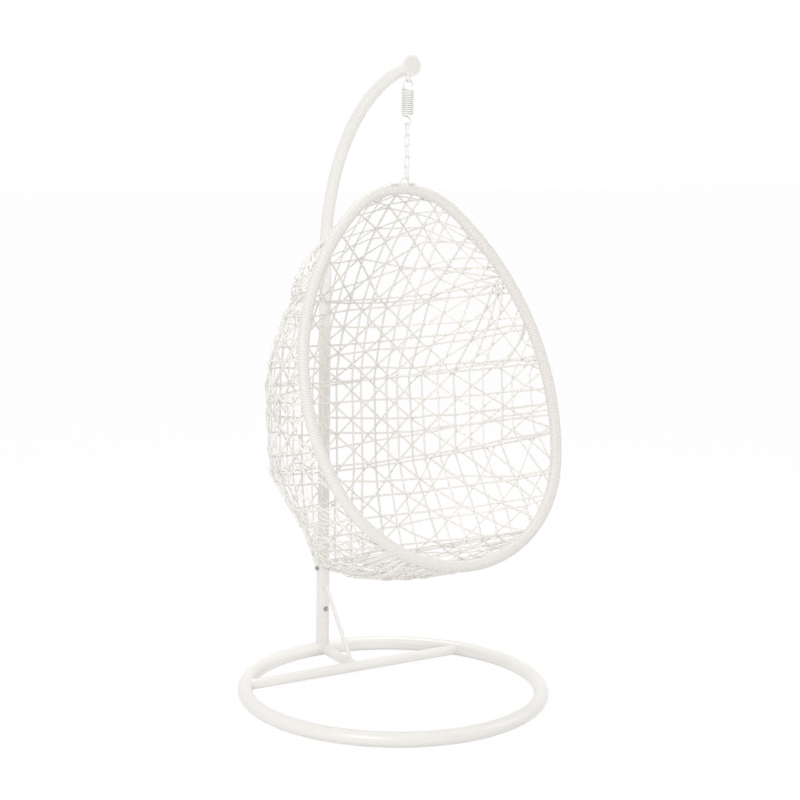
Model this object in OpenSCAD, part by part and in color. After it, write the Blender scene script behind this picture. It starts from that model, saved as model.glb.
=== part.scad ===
// Hanging egg chair: a woven basket on a spring and a chain, under a curved pole on a ring base.
// The origin is on the floor at the centre of the base ring, the sitter faces -Y and the pole stands at +Y.

/* [Base] */
// Diameter of the base ring, measured on the tube's centre line
ring_d = 915; // [850:5:1100]
// Outside diameter of the base ring's tube
ring_tube_d = 45; // [38:1:55]
// Depth of the flat that is ground on the ring's underside
ring_flat = 0.8; // [0.4:0.1:1.2]
// Wall of the tubes of the stand
stand_wall = 2; // [1.6:0.1:3]
// Distance of the cross bar behind the ring's centre
cross_bar_y = 233; // [180:1:290]
// Outside diameter of the cross bar and the foot bar
bar_d = 32; // [24:1:36]
// Diameter of the brace rod
brace_d = 13; // [8:1:16]
// Height of the brace rod's upper end on the post
brace_top = 242; // [190:1:255]
// Distance of the brace rod's lower end from the post's axis
brace_reach = 186; // [140:1:190]

/* [Post and pole] */
// Outside diameter of the lower post
post_d = 42; // [40:1:48]
// Height of the lower post's upper end
post_top = 354; // [330:1:420]
// Outside diameter of the upper pole
pole_d = 38; // [30:0.5:38.2]
// Radial clearance of the pole in the post
pole_gap = 0.1; // [0.05:0.05:0.1]
// Height of the pole's lower end inside the post
pole_foot = 120; // [90:1:140]
// Height at which the pole starts to bend
pole_straight = 1320; // [1200:5:1450]
// Bend radius of the pole, on its centre line
pole_bend_r = 600; // [560:1:640]
// Angle through which the pole bends
pole_bend = 81; // [76:0.5:86]
// Diameter of the pole's end flange
flange_d = 60; // [52:1:70]
// Thickness of the end flange
flange_t = 8.5; // [6:0.5:12]
// Diameter of the plug set into the flange
plug_d = 44; // [36:1:46]
// Depth to which the plug sits in the flange
plug_t = 3; // [2:0.5:4]
// Height of the bolt that goes through from side to side
side_bolt_z = 297; // [280:1:310]
// Height of the bolt that goes through from front to back
front_bolt_z = 161; // [150:1:180]
// Diameter of both bolts
bolt_d = 8; // [6:1:10]

/* [Hanging gear] */
// Distance of the hanging point behind the ring's centre
hang_y = -33; // [-36:0.5:-30]
// Diameter of the round bar of the pole eye
eye_bar_d = 6.5; // [5:0.5:7]
// Bend radius of the pole eye, on its centre line
eye_r = 11; // [10:0.5:13]
// Height of the pole eye's lowest point, on its centre line
eye_z = 1868.3; // [1860:0.1:1875]
// Diameter of the spring's wire
spring_wire = 5; // [4:0.1:5]
// Outside diameter of the spring's coil
coil_d = 36.4; // [34:0.1:40]
// Number of curls in the coil
coil_turns = 13; // [10:1:13]
// Pitch of the curls
coil_pitch = 5.7; // [5.6:0.05:5.9]
// Bend radius of the spring's upper loop
loop_r = 14.3; // [13:0.1:15]
// Height of the upper loop's centre above the coil
loop_rise = 14; // [13:0.5:18]
// Bend radius of the spring's lower hook
hook_r = 11; // [10:0.5:12]
// Depth of the lower hook's centre below the coil
hook_drop = 17.5; // [16:0.5:20]
// Diameter of the chain's wire
link_wire = 5; // [4:0.1:5]
// Inside width of a chain link
link_inner = 9; // [8:0.1:10]
// Straight length of a chain link's sides
link_straight = 22.4; // [18:0.1:24]
// Diameter of the bracket's rod
bracket_d = 6; // [5:0.5:6]
// Bend radius at the bracket's top
bracket_r = 9; // [9:0.5:12]
// Sweep of the bracket's top bend to each side
bracket_sweep = 70; // [65:1:75]
// Straight length of the bracket's legs
bracket_leg = 12; // [8:0.5:14]
// Bend radius between the bracket's legs and feet
bracket_foot_r = 15; // [13:0.5:20]
// Length of each foot of the bracket
bracket_foot = 14; // [10:0.5:18]
// Forward lean of the bracket
bracket_lean = 39; // [35:0.1:42]

/* [Rim] */
// Outside diameter of the rim's steel tube
rim_tube_d = 25; // [20:0.5:28]
// Wall of the rim's steel tube
rim_wall = 1.2; // [1:0.1:2.5]
// Outside diameter of the wound strand sleeve on the rim
wrap_d = 34; // [30:0.5:36]
// Radius of the rim's top arc
top_r = 252.4; // [240:0.1:265]
// Sweep of the top arc to each side
top_sweep = 42.6; // [41:0.1:44]
// Backward lean of the top arc's plane
top_lean = 13.7; // [12:0.1:16]
// Radius of the rim's side arcs
side_r = 743; // [725:1:760]
// Sweep of a side arc
side_sweep = 66.9; // [65:0.1:69]
// Turn of a side arc's plane against the top arc's
side_turn = 12.4; // [10:0.1:15]

/* [Shell] */
// Diameter of the rods of the hoops and ribs
rod_d = 6.2; // [5:0.1:7]
// Back of the upper hoop, behind the ring's centre
upper_back = 289; // [270:1:300]
// Height of the upper hoop's back
upper_z = 1201; // [1180:1:1220]
// Back of the middle hoop, behind the ring's centre
middle_back = 378; // [350:1:384]
// Height of the middle hoop's back
middle_z = 928; // [900:1:950]
// Back of the lower hoop, behind the ring's centre
lower_back = 369; // [345:1:384]
// Height of the lower hoop's back
lower_z = 640; // [620:1:660]
// Back of the bottom hoop, behind the ring's centre
bottom_back = 370; // [340:1:384]
// Height of the bottom hoop's back
bottom_z = 335; // [325:1:350]
// Outward bulge of the shell between the rim's top and the upper hoop
top_bulge = 30; // [15:1:36]
// Outward bulge of the shell between the upper hoop and the middle hoop
upper_bulge = 16; // [8:1:20]
// Outward bulge of the shell between the lower hoop and the bottom hoop
lower_bulge = 20; // [10:1:30]
// Sag of the seat below the line from the bottom hoop to the rim
seat_sag = 40; // [25:1:60]

/* [Weave] */
// Width of a strand
strand_w = 6; // [4:0.5:7]
// Thickness of a strand
strand_t = 2; // [1:0.1:2]
// Strands that run around the shell, from rim to rim
around_count = 26; // [12:1:30]
// Strands that run down the shell, for each gap between ribs
down_count = 2; // [1:1:3]
// Slanted strands in each direction
slant_count = 12; // [6:1:13]
// Gap between the layers of slanted strands and the layer below
slant_gap = 1.1; // [0.8:0.1:2.5]

/* [Hidden] */

seat_gap = 0.3;                      // gap between pieces that rest on each other
fit_gap = 0.1;                       // radial gap of a bolt in its hole
ring_z = ring_tube_d / 2 - ring_flat;
post_y = ring_d / 2;
powder_white = [0.93, 0.92, 0.90];
strand_white = [0.95, 0.93, 0.88];
steel_grey = [0.62, 0.63, 0.65];

function unit(v) = v / norm(v);
function mix(a, b, f) = a + (b - a) * f;
function flip(p, s) = [s * p.x, p.y, p.z];
function flat(lists) = [for (l = lists) for (v = l) v];
function total(v, n) = n <= 0 ? 0 : v[n - 1] + total(v, n - 1);

// An arc is [start, tangent, direction to its centre, radius, sweep]
function arc_point(a, f) = let (g = f * a[4])
  a[0] + a[3] * sin(g) * a[1] + a[3] * (1 - cos(g)) * a[2];
function arc_tangent(a, f) = let (g = f * a[4]) cos(g) * a[1] + sin(g) * a[2];
function arc_inward(a, f) = let (g = f * a[4]) cos(g) * a[2] - sin(g) * a[1];

// Places a ring profile along an arc, from sweep angle "from" to "to"
module along_arc(a, from, to) {
  c = a[0] + a[3] * a[2];
  x = -a[2];
  y = a[1];
  z = cross(x, y);
  multmatrix([[x.x, y.x, z.x, c.x], [x.y, y.y, z.y, c.y], [x.z, y.z, z.z, c.z], [0, 0, 0, 1]])
    rotate([0, 0, from])
      rotate_extrude(angle = to - from, $fn = 128)
        translate([a[3], 0]) children();
}

module tube_section(d, inner) {
  difference() {
    circle(d = d, $fn = 48);
    if (inner > 0) circle(d = inner, $fn = 48);
  }
}

// Straight round bar between two points
module bar(p, q, d) {
  v = q - p;
  translate(p)
    rotate([0, acos(v.z / norm(v)), atan2(v.y, v.x)])
      cylinder(h = norm(v), d = d, $fn = 48);
}

// Frames carried along a path, so that the tube's sides don't twist
function path_tangent(p, i) = unit(p[min(i + 1, len(p) - 1)] - p[max(i - 1, 0)]);
function carried(p, i, n) = i >= len(p) ? [] :
  let (t = path_tangent(p, i), m = unit(n - (n * t) * t)) concat([m], carried(p, i + 1, m));
function tube_rings(p, d, sides, start) = let (ns = carried(p, 0, start)) [
  for (i = [0:len(p) - 1]) let (t = path_tangent(p, i), b = cross(t, ns[i])) [
    for (k = [0:sides - 1]) let (g = 360 * k / sides)
      p[i] + d / 2 * (cos(g) * ns[i] + sin(g) * b)
  ]
];

// Faces of one tube with n rings of m points, whose first point has the index "base"
function tube_faces(n, m, base) = concat(
  [for (k = [1:m - 2]) [base, base + k, base + k + 1]],
  [for (i = [0:n - 2]) for (k = [0:m - 1]) let (a = base + i * m, j = (k + 1) % m)
    each [[a + k, a + m + k, a + m + j], [a + k, a + m + j, a + j]]],
  [for (k = [1:m - 2]) let (a = base + (n - 1) * m) [a, a + k + 1, a + k]]
);

// Any number of separate tubes, each a list of rings
module tubes(list, m) {
  sizes = [for (rings = list) len(rings) * m];
  polyhedron(
    points = [for (rings = list) for (ring = rings) for (p = ring) p],
    faces = flat([for (i = [0:len(list) - 1]) tube_faces(len(list[i]), m, total(sizes, i))])
  );
}

// Heights of the hanging gear, from the eye down: the spring, the chain and the bracket's top
loop_z = eye_z + (eye_bar_d + spring_wire) / 2 + seat_gap - loop_r;
coil_top = loop_z - loop_rise;
coil_bottom = coil_top - coil_turns * coil_pitch;
hook_z = coil_bottom - hook_drop;
link_r = (link_inner + link_wire) / 2;
link_drop = 2 * link_r + link_straight;
link_pitch = link_drop - link_wire - seat_gap;
link_count = 5;
first_link_z = hook_z - hook_r + (spring_wire + link_wire) / 2 + seat_gap;
apex_z = first_link_z - (link_count - 1) * link_pitch - link_drop + (link_wire + bracket_d) / 2 + seat_gap;

// The bracket's feet follow the rim, which looks flatter in the bracket's leaning plane
bracket_rise = (wrap_d + bracket_d) / 2 + seat_gap;
bracket_seat_r = top_r / cos(bracket_lean + top_lean) + bracket_rise;
bracket_toe = asin(((bracket_r + bracket_foot_r) * sin(bracket_sweep) + bracket_leg * cos(bracket_sweep))
  / (bracket_seat_r + bracket_foot_r));
bracket_height = bracket_rise - bracket_seat_r * (1 - cos(bracket_toe))
  + bracket_r * (1 - cos(bracket_sweep)) + bracket_leg * sin(bracket_sweep)
  + bracket_foot_r * (cos(bracket_toe) - cos(bracket_sweep));

// The rim's arcs on the right-hand side, each tangent to the one before
rim_y = hang_y + bracket_height * sin(bracket_lean);
rim_z = apex_z - bracket_height * cos(bracket_lean);
top_arc = [[0, rim_y, rim_z], [1, 0, 0], [0, -sin(top_lean), -cos(top_lean)], top_r, top_sweep];
side_arc = let (t = arc_tangent(top_arc, 1), c = arc_inward(top_arc, 1))
  [arc_point(top_arc, 1), t, cos(side_turn) * c - sin(side_turn) * cross(t, c), side_r, side_sweep];
bottom_arc = let (
    p = arc_point(side_arc, 1),
    t = arc_tangent(side_arc, 1),
    d = unit([0, t.y, t.z]),
    sweep = atan2(t * d, -t.x)
  ) [p, t, [-(t * d), t.x * d.y, t.x * d.z], p.x / sin(sweep), sweep];

// Point and tangent on the rim: 0 at the top, 1 to 2 along the side, 3 at the bottom
function rim_arc(s) = s <= 1 ? top_arc : s <= 2 ? side_arc : bottom_arc;
function rim_part(s) = s <= 1 ? s : s <= 2 ? s - 1 : s - 2;
function rim_point(s) = arc_point(rim_arc(s), rim_part(s));
function rim_tangent(s) = arc_tangent(rim_arc(s), rim_part(s));

// Where the ribs and hoops meet the rim
top_stations = [[0, 0], [1, 0.744], [2, 1.102], [3, 1.266], [4, 1.326], [5, 1.326]];
side_stations = [[1, 1.326], [2, 1.637], [3, 1.891], [4, 2.502]];
seat_stations = [[0, 3], [1, 2.876], [2, 2.752], [3, 2.641], [4, 2.502], [5, 2.502]];

// Hoops: back, height of the back, squareness, and the angle at which each rib crosses
hoops = [
  [upper_back, upper_z, 2.11, [[0, 0], [1, 20], [2, 43], [3, 80], [4, 90], [5, 90]]],
  [middle_back, middle_z, 2.43, [[0, 0], [1, 14.5], [2, 30], [3, 50.5], [4, 72.8], [5, 90]]],
  [lower_back, lower_z, 2.6, [[0, 0], [1, 14.2], [2, 31.4], [3, 51.1], [4, 71.5], [5, 90]]],
  [bottom_back, bottom_z, 2.15, [[0, 0], [1, 31.7], [2, 56.6], [3, 73.1], [4, 90], [5, 90]]]
];
function hoop_point(i, c) = let (
    h = hoops[i],
    end = rim_point(lookup(i + 1, side_stations)),
    g = lookup(c, h[3]),
    back = pow(max(cos(g), 0), 2 / h[2])
  ) [end.x * pow(max(sin(g), 0), 2 / h[2]), mix(end.y, h[0], back), mix(end.z, h[1], back)];

// The shell's surface: c counts ribs from the back's middle (5 is the rim), r counts hoops from
// the top (0 is the rim's top, 1 to 4 the hoops, 6 the rim's bottom)
shell_focus = [0, -100, 1150];
function shell_row(c, i) = i == 0 ? rim_point(lookup(c, top_stations)) :
  i == 5 ? rim_point(lookup(c, seat_stations)) : hoop_point(i - 1, c);
function shell_flat(c, r) = r < 4 ? mix(shell_row(c, floor(r)), shell_row(c, floor(r) + 1), r - floor(r)) :
  mix(shell_row(c, 4), shell_row(c, 5), (r - 4) / 2);
function shell_swell(c, r, p) =
  r < 1 ? top_bulge * 4 * r * (1 - r) * unit(p - shell_focus) :
  r < 2 ? upper_bulge * 4 * (r - 1) * (2 - r) * unit(p - shell_focus) :
  r < 3 ? [0, 0, 0] :
  r < 4 ? lower_bulge * 4 * (r - 3) * (4 - r) * unit(p - shell_focus) :
  [0, 0, -seat_sag * (r - 4) * (6 - r) * max(1 - c * c / 16, 0)];
function rim_follow(c, r) = r <= 1 || r >= 4 ? [0, 0, 0] :
  (rim_point(lookup(r, side_stations)) - shell_flat(5, r)) * pow(c / 5, 2);
function shell_side(c, r) = let (p = shell_flat(c, r), e = c > 4 ? 5 - c : 1)
  p + shell_swell(c, r, p) * e + rim_follow(c, r);
function shell(c, r) = flip(shell_side(abs(c), r), c < 0 ? -1 : 1);
function shell_normal(c, r) = let (
    q = min(max(r, 0.2), 5.8),
    w = q < 1.3 || q > 3.7 ? 3.7 : 4.8,
    a = min(max(c, -w), w),
    u = shell(a + 0.15, q) - shell(a - 0.15, q),
    v = shell(a, q + 0.15) - shell(a, q - 0.15)
  ) unit(cross(u, v));

// Sections of a rod and of a strand, across the piece and outward
rod_section = [for (k = [0:5]) rod_d / 2 * [cos(60 * k), sin(60 * k)]];
strand_section = [for (q = [[-1, 1], [1, 1], [1, -1], [-1, -1]]) [q[0] * strand_w, q[1] * strand_t] / 2];

// Moves a piece's end at p along v, until its section clears the sleeve on the rim, which runs along t at q
function stop_at_rim(p, v, normal, q, t, section) = let (
    b = unit(cross(v, normal)),
    n = cross(b, v),
    d = cross(v, t)
  ) p + v * max([for (c = section) let (
    a = cross(p + c[0] * b + c[1] * n - q, t),
    h = (a * d) / (d * d),
    k = pow(h, 2) - (a * a - pow(wrap_d / 2 + seat_gap, 2)) / (d * d)
  ) sqrt(max(k, 0)) - h]);
function rim_tangent_at(c, r) = flip(
  r <= 0 ? rim_tangent(lookup(abs(c), top_stations)) :
  r >= 6 ? rim_tangent(lookup(abs(c), seat_stations)) :
  rim_tangent(lookup(r, side_stations)), c < 0 ? -1 : 1);
function on_rim(c, r) = r <= 0 || r >= 6 || abs(c) >= 5;
// The end i of a path of [c, r] places, whose next point is j
function stopped(places, p, i, j, section) = let (c = places[i][0], r = places[i][1]) on_rim(c, r) ?
  stop_at_rim(p[i], unit(p[j] - p[i]), shell_normal(c, r), shell(c, r), rim_tangent_at(c, r), section) :
  p[i];
function shell_path(places, offset, section) = let (
    p = [for (q = places) shell(q[0], q[1]) + offset * shell_normal(q[0], q[1])],
    n = len(p) - 1
  ) [for (i = [0:n]) i == 0 ? stopped(places, p, 0, 1, section) :
    i == n ? stopped(places, p, n, n - 1, section) : p[i]];

module rods(paths, offset, start) {
  tubes([for (places = paths)
    tube_rings(shell_path(places, offset, rod_section), rod_d, len(rod_section), start)], len(rod_section));
}
// The ribs lie in the shell's surface, and the hoops are welded to their inner side
hoop_layer = -(rod_d + seat_gap);

rows = [0, 0.25, 0.5, 0.75, 1, 1.5, 2, 2.5, 3, 3.25, 3.5, 3.75, 4, 4.5, 5, 5.5, 6];
fine_columns = [for (k = [-20:20]) k / 4];
columns = [for (c = fine_columns) if (abs(c) < 1 || abs(c) > 4 || c * 2 == round(c * 2)) c];
function rib(c) = [for (r = rows) [c, r]];
// The foremost rib starts lower on the rim, and ends just above the bottom hoop
front_rib_start = [5, 1.37];
front_rib_bend = [4.5, 1.69];
front_rib_end = [4, 3.9];
front_rib = concat(
  [front_rib_start, front_rib_bend],
  [for (r = rows) if (r >= 2 && r < 4) [4, r]],
  [front_rib_end]
);
function mirrored(path) = [for (q = path) [-q[0], q[1]]];
function hoop(i, last) = [for (c = columns) if (abs(c) <= last) [c, i]];

module base_ring() {
  color(powder_white)
  difference() {
    translate([0, 0, ring_z])
      rotate_extrude($fn = 180)
        translate([post_y, 0]) tube_section(ring_tube_d, ring_tube_d - 2 * stand_wall);
    translate([0, 0, -ring_tube_d]) cylinder(h = ring_tube_d, r = ring_d, $fn = 96);
  }
}

// The space that the ring's tube fills, cut from what is welded to it
module ring_space() {
  translate([0, 0, ring_z])
    rotate_extrude($fn = 180) translate([post_y, 0]) circle(d = ring_tube_d, $fn = 48);
}

module cross_bar() {
  half = sqrt(pow(post_y, 2) - pow(cross_bar_y, 2));
  color(powder_white)
  difference() {
    bar([-half, cross_bar_y, ring_z], [half, cross_bar_y, ring_z], bar_d);
    bar([-half - 1, cross_bar_y, ring_z], [half + 1, cross_bar_y, ring_z], bar_d - 2 * stand_wall);
    ring_space();
  }
}

module foot_bar() {
  color(powder_white)
  difference() {
    bar([0, cross_bar_y, ring_z], [0, post_y, ring_z], bar_d);
    bar([0, cross_bar_y - 1, ring_z], [0, post_y + 1, ring_z], bar_d - 2 * stand_wall);
    bar([-bar_d, cross_bar_y, ring_z], [bar_d, cross_bar_y, ring_z], bar_d);
    ring_space();
  }
}

// The brace's ends run on into the post and the foot bar, and are cut to their outsides
module brace_rod() {
  top = [0, post_y - post_d / 2, brace_top];
  foot = [0, post_y - brace_reach, ring_z + bar_d / 2];
  over = brace_d * unit(top - foot);
  color(powder_white)
  difference() {
    bar(top + over, foot - over, brace_d);
    translate([0, post_y, 0]) cylinder(h = post_top, d = post_d, $fn = 64);
    bar([0, cross_bar_y + bar_d / 2, ring_z], [0, post_y, ring_z], bar_d);
  }
}

module lower_post() {
  bore = pole_d + 2 * pole_gap;
  color(powder_white)
  difference() {
    translate([0, post_y, ring_z]) cylinder(h = post_top - ring_z, d = post_d, $fn = 64);
    translate([0, post_y, 0]) cylinder(h = post_top + 1, d = bore, $fn = 64);
    ring_space();
    bar([0, cross_bar_y, ring_z], [0, post_y, ring_z], bar_d);
    bolt_holes(post_d);
  }
}

// Holes for the side bolt through both walls, and for the front bolt through the front walls
module bolt_holes(d) {
  translate([-d, post_y, side_bolt_z])
    rotate([0, 90, 0]) cylinder(h = 2 * d, d = bolt_d + 2 * fit_gap, $fn = 48);
  translate([0, post_y, front_bolt_z])
    rotate([90, 0, 0]) cylinder(h = d, d = bolt_d + 2 * fit_gap, $fn = 48);
}

pole_arc = [[0, post_y, pole_straight], [0, 0, 1], [0, -1, 0], pole_bend_r, pole_bend];
pole_end = arc_point(pole_arc, 1);
pole_end_dir = arc_tangent(pole_arc, 1);

module upper_pole() {
  inner = pole_d - 2 * stand_wall;
  color(powder_white)
  union() {
    difference() {
      translate([0, post_y, pole_foot]) cylinder(h = pole_straight - pole_foot, d = pole_d, $fn = 64);
      translate([0, post_y, pole_foot - 1])
        cylinder(h = pole_straight - pole_foot + 2, d = inner, $fn = 64);
      bolt_holes(post_d);
    }
    along_arc(pole_arc, 0, pole_bend) tube_section(pole_d, inner);
  }
}

// Puts a piece on the pole's end, with its +Z along the pole
module on_pole_end() {
  translate(pole_end) rotate([pole_bend, 0, 0]) children();
}

module pole_end_flange() {
  color(powder_white)
  on_pole_end() difference() {
    cylinder(h = flange_t, d = flange_d, $fn = 64);
    translate([0, 0, flange_t - plug_t]) cylinder(h = plug_t + 1, d = plug_d, $fn = 64);
    translate([0, 0, -1]) cylinder(h = flange_t + 2, d = plug_d / 2, $fn = 48);
  }
}

// The plug's face lies a little below the flange's, and its neck fills the flange's hole
plug_recess = 0.8;
module pole_end_plug() {
  color(powder_white)
  on_pole_end() {
    translate([0, 0, flange_t - plug_t])
      cylinder(h = plug_t - plug_recess, d = plug_d - 2 * fit_gap, $fn = 64);
    translate([0, 0, plug_recess])
      cylinder(h = flange_t - plug_t, d = plug_d / 2 - 2 * fit_gap, $fn = 48);
  }
}

eye_centre = [0, hang_y, eye_z + eye_r];
eye_arc = [eye_centre + [0, -eye_r, 0], [0, 0, -1], [0, 1, 0], eye_r, 180];

// The eye's legs run on into the pole, and are cut to its outside
module pole_eye() {
  leg = pole_end.z - eye_centre.z;
  color(powder_white)
  difference() {
    union() {
      along_arc(eye_arc, 0, 180) circle(d = eye_bar_d, $fn = 48);
      for (s = [-1, 1]) translate(eye_centre + [0, s * eye_r, 0])
        cylinder(h = leg, d = eye_bar_d, $fn = 48);
    }
    along_arc(pole_arc, pole_bend / 2, pole_bend) circle(d = pole_d, $fn = 48);
  }
}

// Bolts, nuts and washers have the usual proportions to the bolt's diameter
head_t = 0.65 * bolt_d;
head_w = 1.6 * bolt_d;
nut_t = 0.8 * bolt_d;
nut_w = 1.8 * bolt_d;
bolt_end = 0.4 * bolt_d;
washer_t = 0.2 * bolt_d;
washer_w = 2.1 * bolt_d;
// The front bolt's nut is fixed to the inside of the pole's front wall
front_grip = post_d / 2 - sqrt(pow(pole_d / 2 - stand_wall, 2) - pow(nut_w / 2, 2));

// A bolt along +Z with its head below 0 and room for a nut past the grip
module bolt(grip) {
  translate([0, 0, -washer_t - head_t]) cylinder(h = head_t, d = head_w, $fn = 6);
  translate([0, 0, -washer_t]) cylinder(h = grip + washer_t + nut_t + bolt_end, d = bolt_d, $fn = 48);
}

module nut() {
  difference() {
    cylinder(h = nut_t, d = nut_w, $fn = 6);
    translate([0, 0, -1]) cylinder(h = nut_t + 2, d = bolt_d + 2 * fit_gap, $fn = 48);
  }
}

module washer() {
  difference() {
    cylinder(h = washer_t, d = washer_w, $fn = 48);
    translate([0, 0, -1]) cylinder(h = washer_t + 2, d = bolt_d + 2 * fit_gap, $fn = 48);
  }
}

// The side bolt has its head at the left, and the front bolt faces the sitter's side
module at_side_bolt() { translate([-post_d / 2, post_y, side_bolt_z]) rotate([0, 90, 0]) children(); }
module at_front_bolt() { translate([0, post_y - post_d / 2, front_bolt_z]) rotate([-90, 0, 0]) children(); }

module post_bolts() {
  color(steel_grey) {
    at_side_bolt() bolt(post_d + washer_t);
    at_front_bolt() bolt(front_grip);
  }
}

module post_nuts() {
  color(steel_grey) {
    at_side_bolt() translate([0, 0, post_d + washer_t]) nut();
    at_front_bolt() translate([0, 0, front_grip]) nut();
  }
}

module post_washers() {
  color(steel_grey) {
    for (z = [-washer_t, post_d]) at_side_bolt() translate([0, 0, z]) washer();
    at_front_bolt() translate([0, 0, -washer_t]) washer();
  }
}

// The spring's wire: a loop over the eye, the coil, and a hook that carries the chain
coil_r = (coil_d - spring_wire) / 2;
function curl(g, z) = [coil_r * cos(g), hang_y + coil_r * sin(g), z];
function bezier(a, b, c, d, f) = let (g = 1 - f)
  g * g * g * a + 3 * g * g * f * b + 3 * g * f * f * c + f * f * f * d;
// The coil starts at the left, turned back by "lead" so that its ends can leave it smoothly
lead = 25;
coil_start = curl(180 - lead, coil_bottom);
coil_finish = curl(180 - lead, coil_top);
coil_way = [sin(lead), cos(lead), 0];
hook_end = -150;
hook_open = 60;
function hook_point(g) = [hook_r * cos(g), hang_y, hook_z + hook_r * sin(g)];
function loop_point(g) = [loop_r * cos(g), hang_y, loop_z + loop_r * sin(g)];
hook_way = [-sin(hook_open), 0, cos(hook_open)];
// How far each end of the two smooth stretches keeps its direction
hook_pull = 9;
rise_pull = 11;
drop_pull = 5;
spring_path = concat(
  [for (g = [hook_end:15:hook_open - 1]) hook_point(g)],
  [for (k = [0:5]) bezier(hook_point(hook_open), hook_point(hook_open) + hook_pull * hook_way,
    coil_start + rise_pull * coil_way, coil_start, k / 6)],
  [for (k = [0:8 * coil_turns]) curl(180 - lead + 45 * k, coil_bottom + coil_pitch * k / 8)],
  [for (k = [1:5]) bezier(coil_finish, coil_finish - drop_pull * coil_way,
    loop_point(180) - [0, 0, hook_pull], loop_point(180), k / 6)],
  [for (g = [180:-15:-15]) loop_point(g)]
);
// Least distance between parts of the wire that aren't neighbours along it
spring_gap = min([for (i = [0:len(spring_path) - 7]) for (j = [i + 6:len(spring_path) - 1])
  norm(spring_path[i] - spring_path[j])]) - spring_wire;

module spring() {
  echo(spring_gap = spring_gap);
  color(powder_white) tubes([tube_rings(spring_path, spring_wire, 6, [0, 1, 0])], 6);
}

// The chain: each link hangs in the one above, turned by a quarter
module chain_link(i) {
  z = first_link_z - (i - 1) * link_pitch - link_r;
  color(powder_white)
  translate([0, hang_y, z]) rotate([0, 0, i % 2 == 1 ? 90 : 0]) {
    for (s = [0, 180]) translate([0, 0, s == 0 ? 0 : -link_straight]) rotate([90, s, 0])
      rotate_extrude(angle = 180, $fn = 96) translate([link_r, 0]) circle(d = link_wire, $fn = 48);
    for (s = [-1, 1]) translate([s * link_r, 0, -link_straight])
      cylinder(h = link_straight, d = link_wire, $fn = 48);
  }
}
module chain_link_1() { chain_link(1); }
module chain_link_2() { chain_link(2); }
module chain_link_3() { chain_link(3); }
module chain_link_4() { chain_link(4); }
module chain_link_5() { chain_link(5); }

// The bracket's rod, from its middle to the right, in a plane that leans forward from the rim's top
bracket_bends = let (
    top = [[0, 0, bracket_height], [1, 0, 0], [0, 0, -1], bracket_r, bracket_sweep],
    leg = [arc_point(top, 1) + bracket_leg * arc_tangent(top, 1), arc_tangent(top, 1), -arc_inward(top, 1),
      bracket_foot_r, bracket_sweep - bracket_toe],
    foot = [arc_point(leg, 1), arc_tangent(leg, 1), -arc_inward(leg, 1),
      bracket_seat_r, bracket_foot / bracket_seat_r * 180 / PI]
  ) [top, leg, foot];
bracket_half = concat(
  [for (k = [1:6]) arc_point(bracket_bends[0], k / 6)],
  [for (k = [0:5]) arc_point(bracket_bends[1], k / 5)],
  [for (k = [1:2]) arc_point(bracket_bends[2], k / 2)]
);
bracket_path = concat(
  [for (k = [len(bracket_half) - 1:-1:0]) flip(bracket_half[k], -1)],
  [[0, 0, bracket_height]],
  bracket_half
);
module basket_bracket() {
  path = [for (q = bracket_path)
    [q.x, rim_y - q.z * sin(bracket_lean), rim_z + q.z * cos(bracket_lean)]];
  color(powder_white) tubes([tube_rings(path, bracket_d, 16, [0, 0, 1])], 16);
}

module rim_tube_section() { tube_section(rim_tube_d, rim_tube_d - 2 * rim_wall); }
module rim_wrap_section() { tube_section(wrap_d, rim_tube_d + 2 * fit_gap); }
module rim_tube_top() { color(powder_white) along_arc(top_arc, -top_sweep, top_sweep) rim_tube_section(); }
module rim_tube_right() { color(powder_white) along_arc(side_arc, 0, side_sweep) rim_tube_section(); }
module rim_tube_left() { mirror([1, 0, 0]) rim_tube_right(); }
module rim_tube_bottom() {
  color(powder_white) along_arc(bottom_arc, 0, 2 * bottom_arc[4]) rim_tube_section();
}
module rim_wrap_top() { color(strand_white) along_arc(top_arc, -top_sweep, top_sweep) rim_wrap_section(); }
module rim_wrap_right() { color(strand_white) along_arc(side_arc, 0, side_sweep) rim_wrap_section(); }
module rim_wrap_left() { mirror([1, 0, 0]) rim_wrap_right(); }
module rim_wrap_bottom() {
  color(strand_white) along_arc(bottom_arc, 0, 2 * bottom_arc[4]) rim_wrap_section();
}

module hoop_rod(path) { color(powder_white) rods([path], hoop_layer, [0, 0, 1]); }
module hoop_upper() { hoop_rod(concat([[-5, 1]], hoop(1, 3), [[5, 1]])); }
module hoop_middle() { hoop_rod(hoop(2, 5)); }
module hoop_lower() { hoop_rod(hoop(3, 5)); }
module hoop_bottom() { hoop_rod(concat([[-5, 4]], hoop(4, 3.5), [[5, 4]])); }

module rib_center() { color(powder_white) rods([rib(0)], 0, [1, 0, 0]); }
module rib_pair(path) { color(powder_white) rods([path, mirrored(path)], 0, [0, 1, 0.3]); }
module ribs_inner() { rib_pair(rib(1)); }
module ribs_rear_side() { rib_pair(rib(2)); }
module ribs_side() { rib_pair(rib(3)); }
module ribs_front() { rib_pair(front_rib); }

// The weave. A strand is a straight line between two [c, r] places. Strands around the shell lie
// outside the ribs, strands down it outside the hoops, and slanted ones outside them all
around_layer = rod_d / 2 + seat_gap + strand_t / 2;
down_layer = hoop_layer + around_layer;
slant_layer = around_layer + layer_step();
function layer_step() = strand_t + slant_gap;
function sorted(v) = len(v) < 2 ? v : let (m = v[floor(len(v) / 2)]) concat(
  sorted([for (x = v) if (x < m - 1e-6) x]), [m], sorted([for (x = v) if (x > m + 1e-6) x]));
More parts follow.
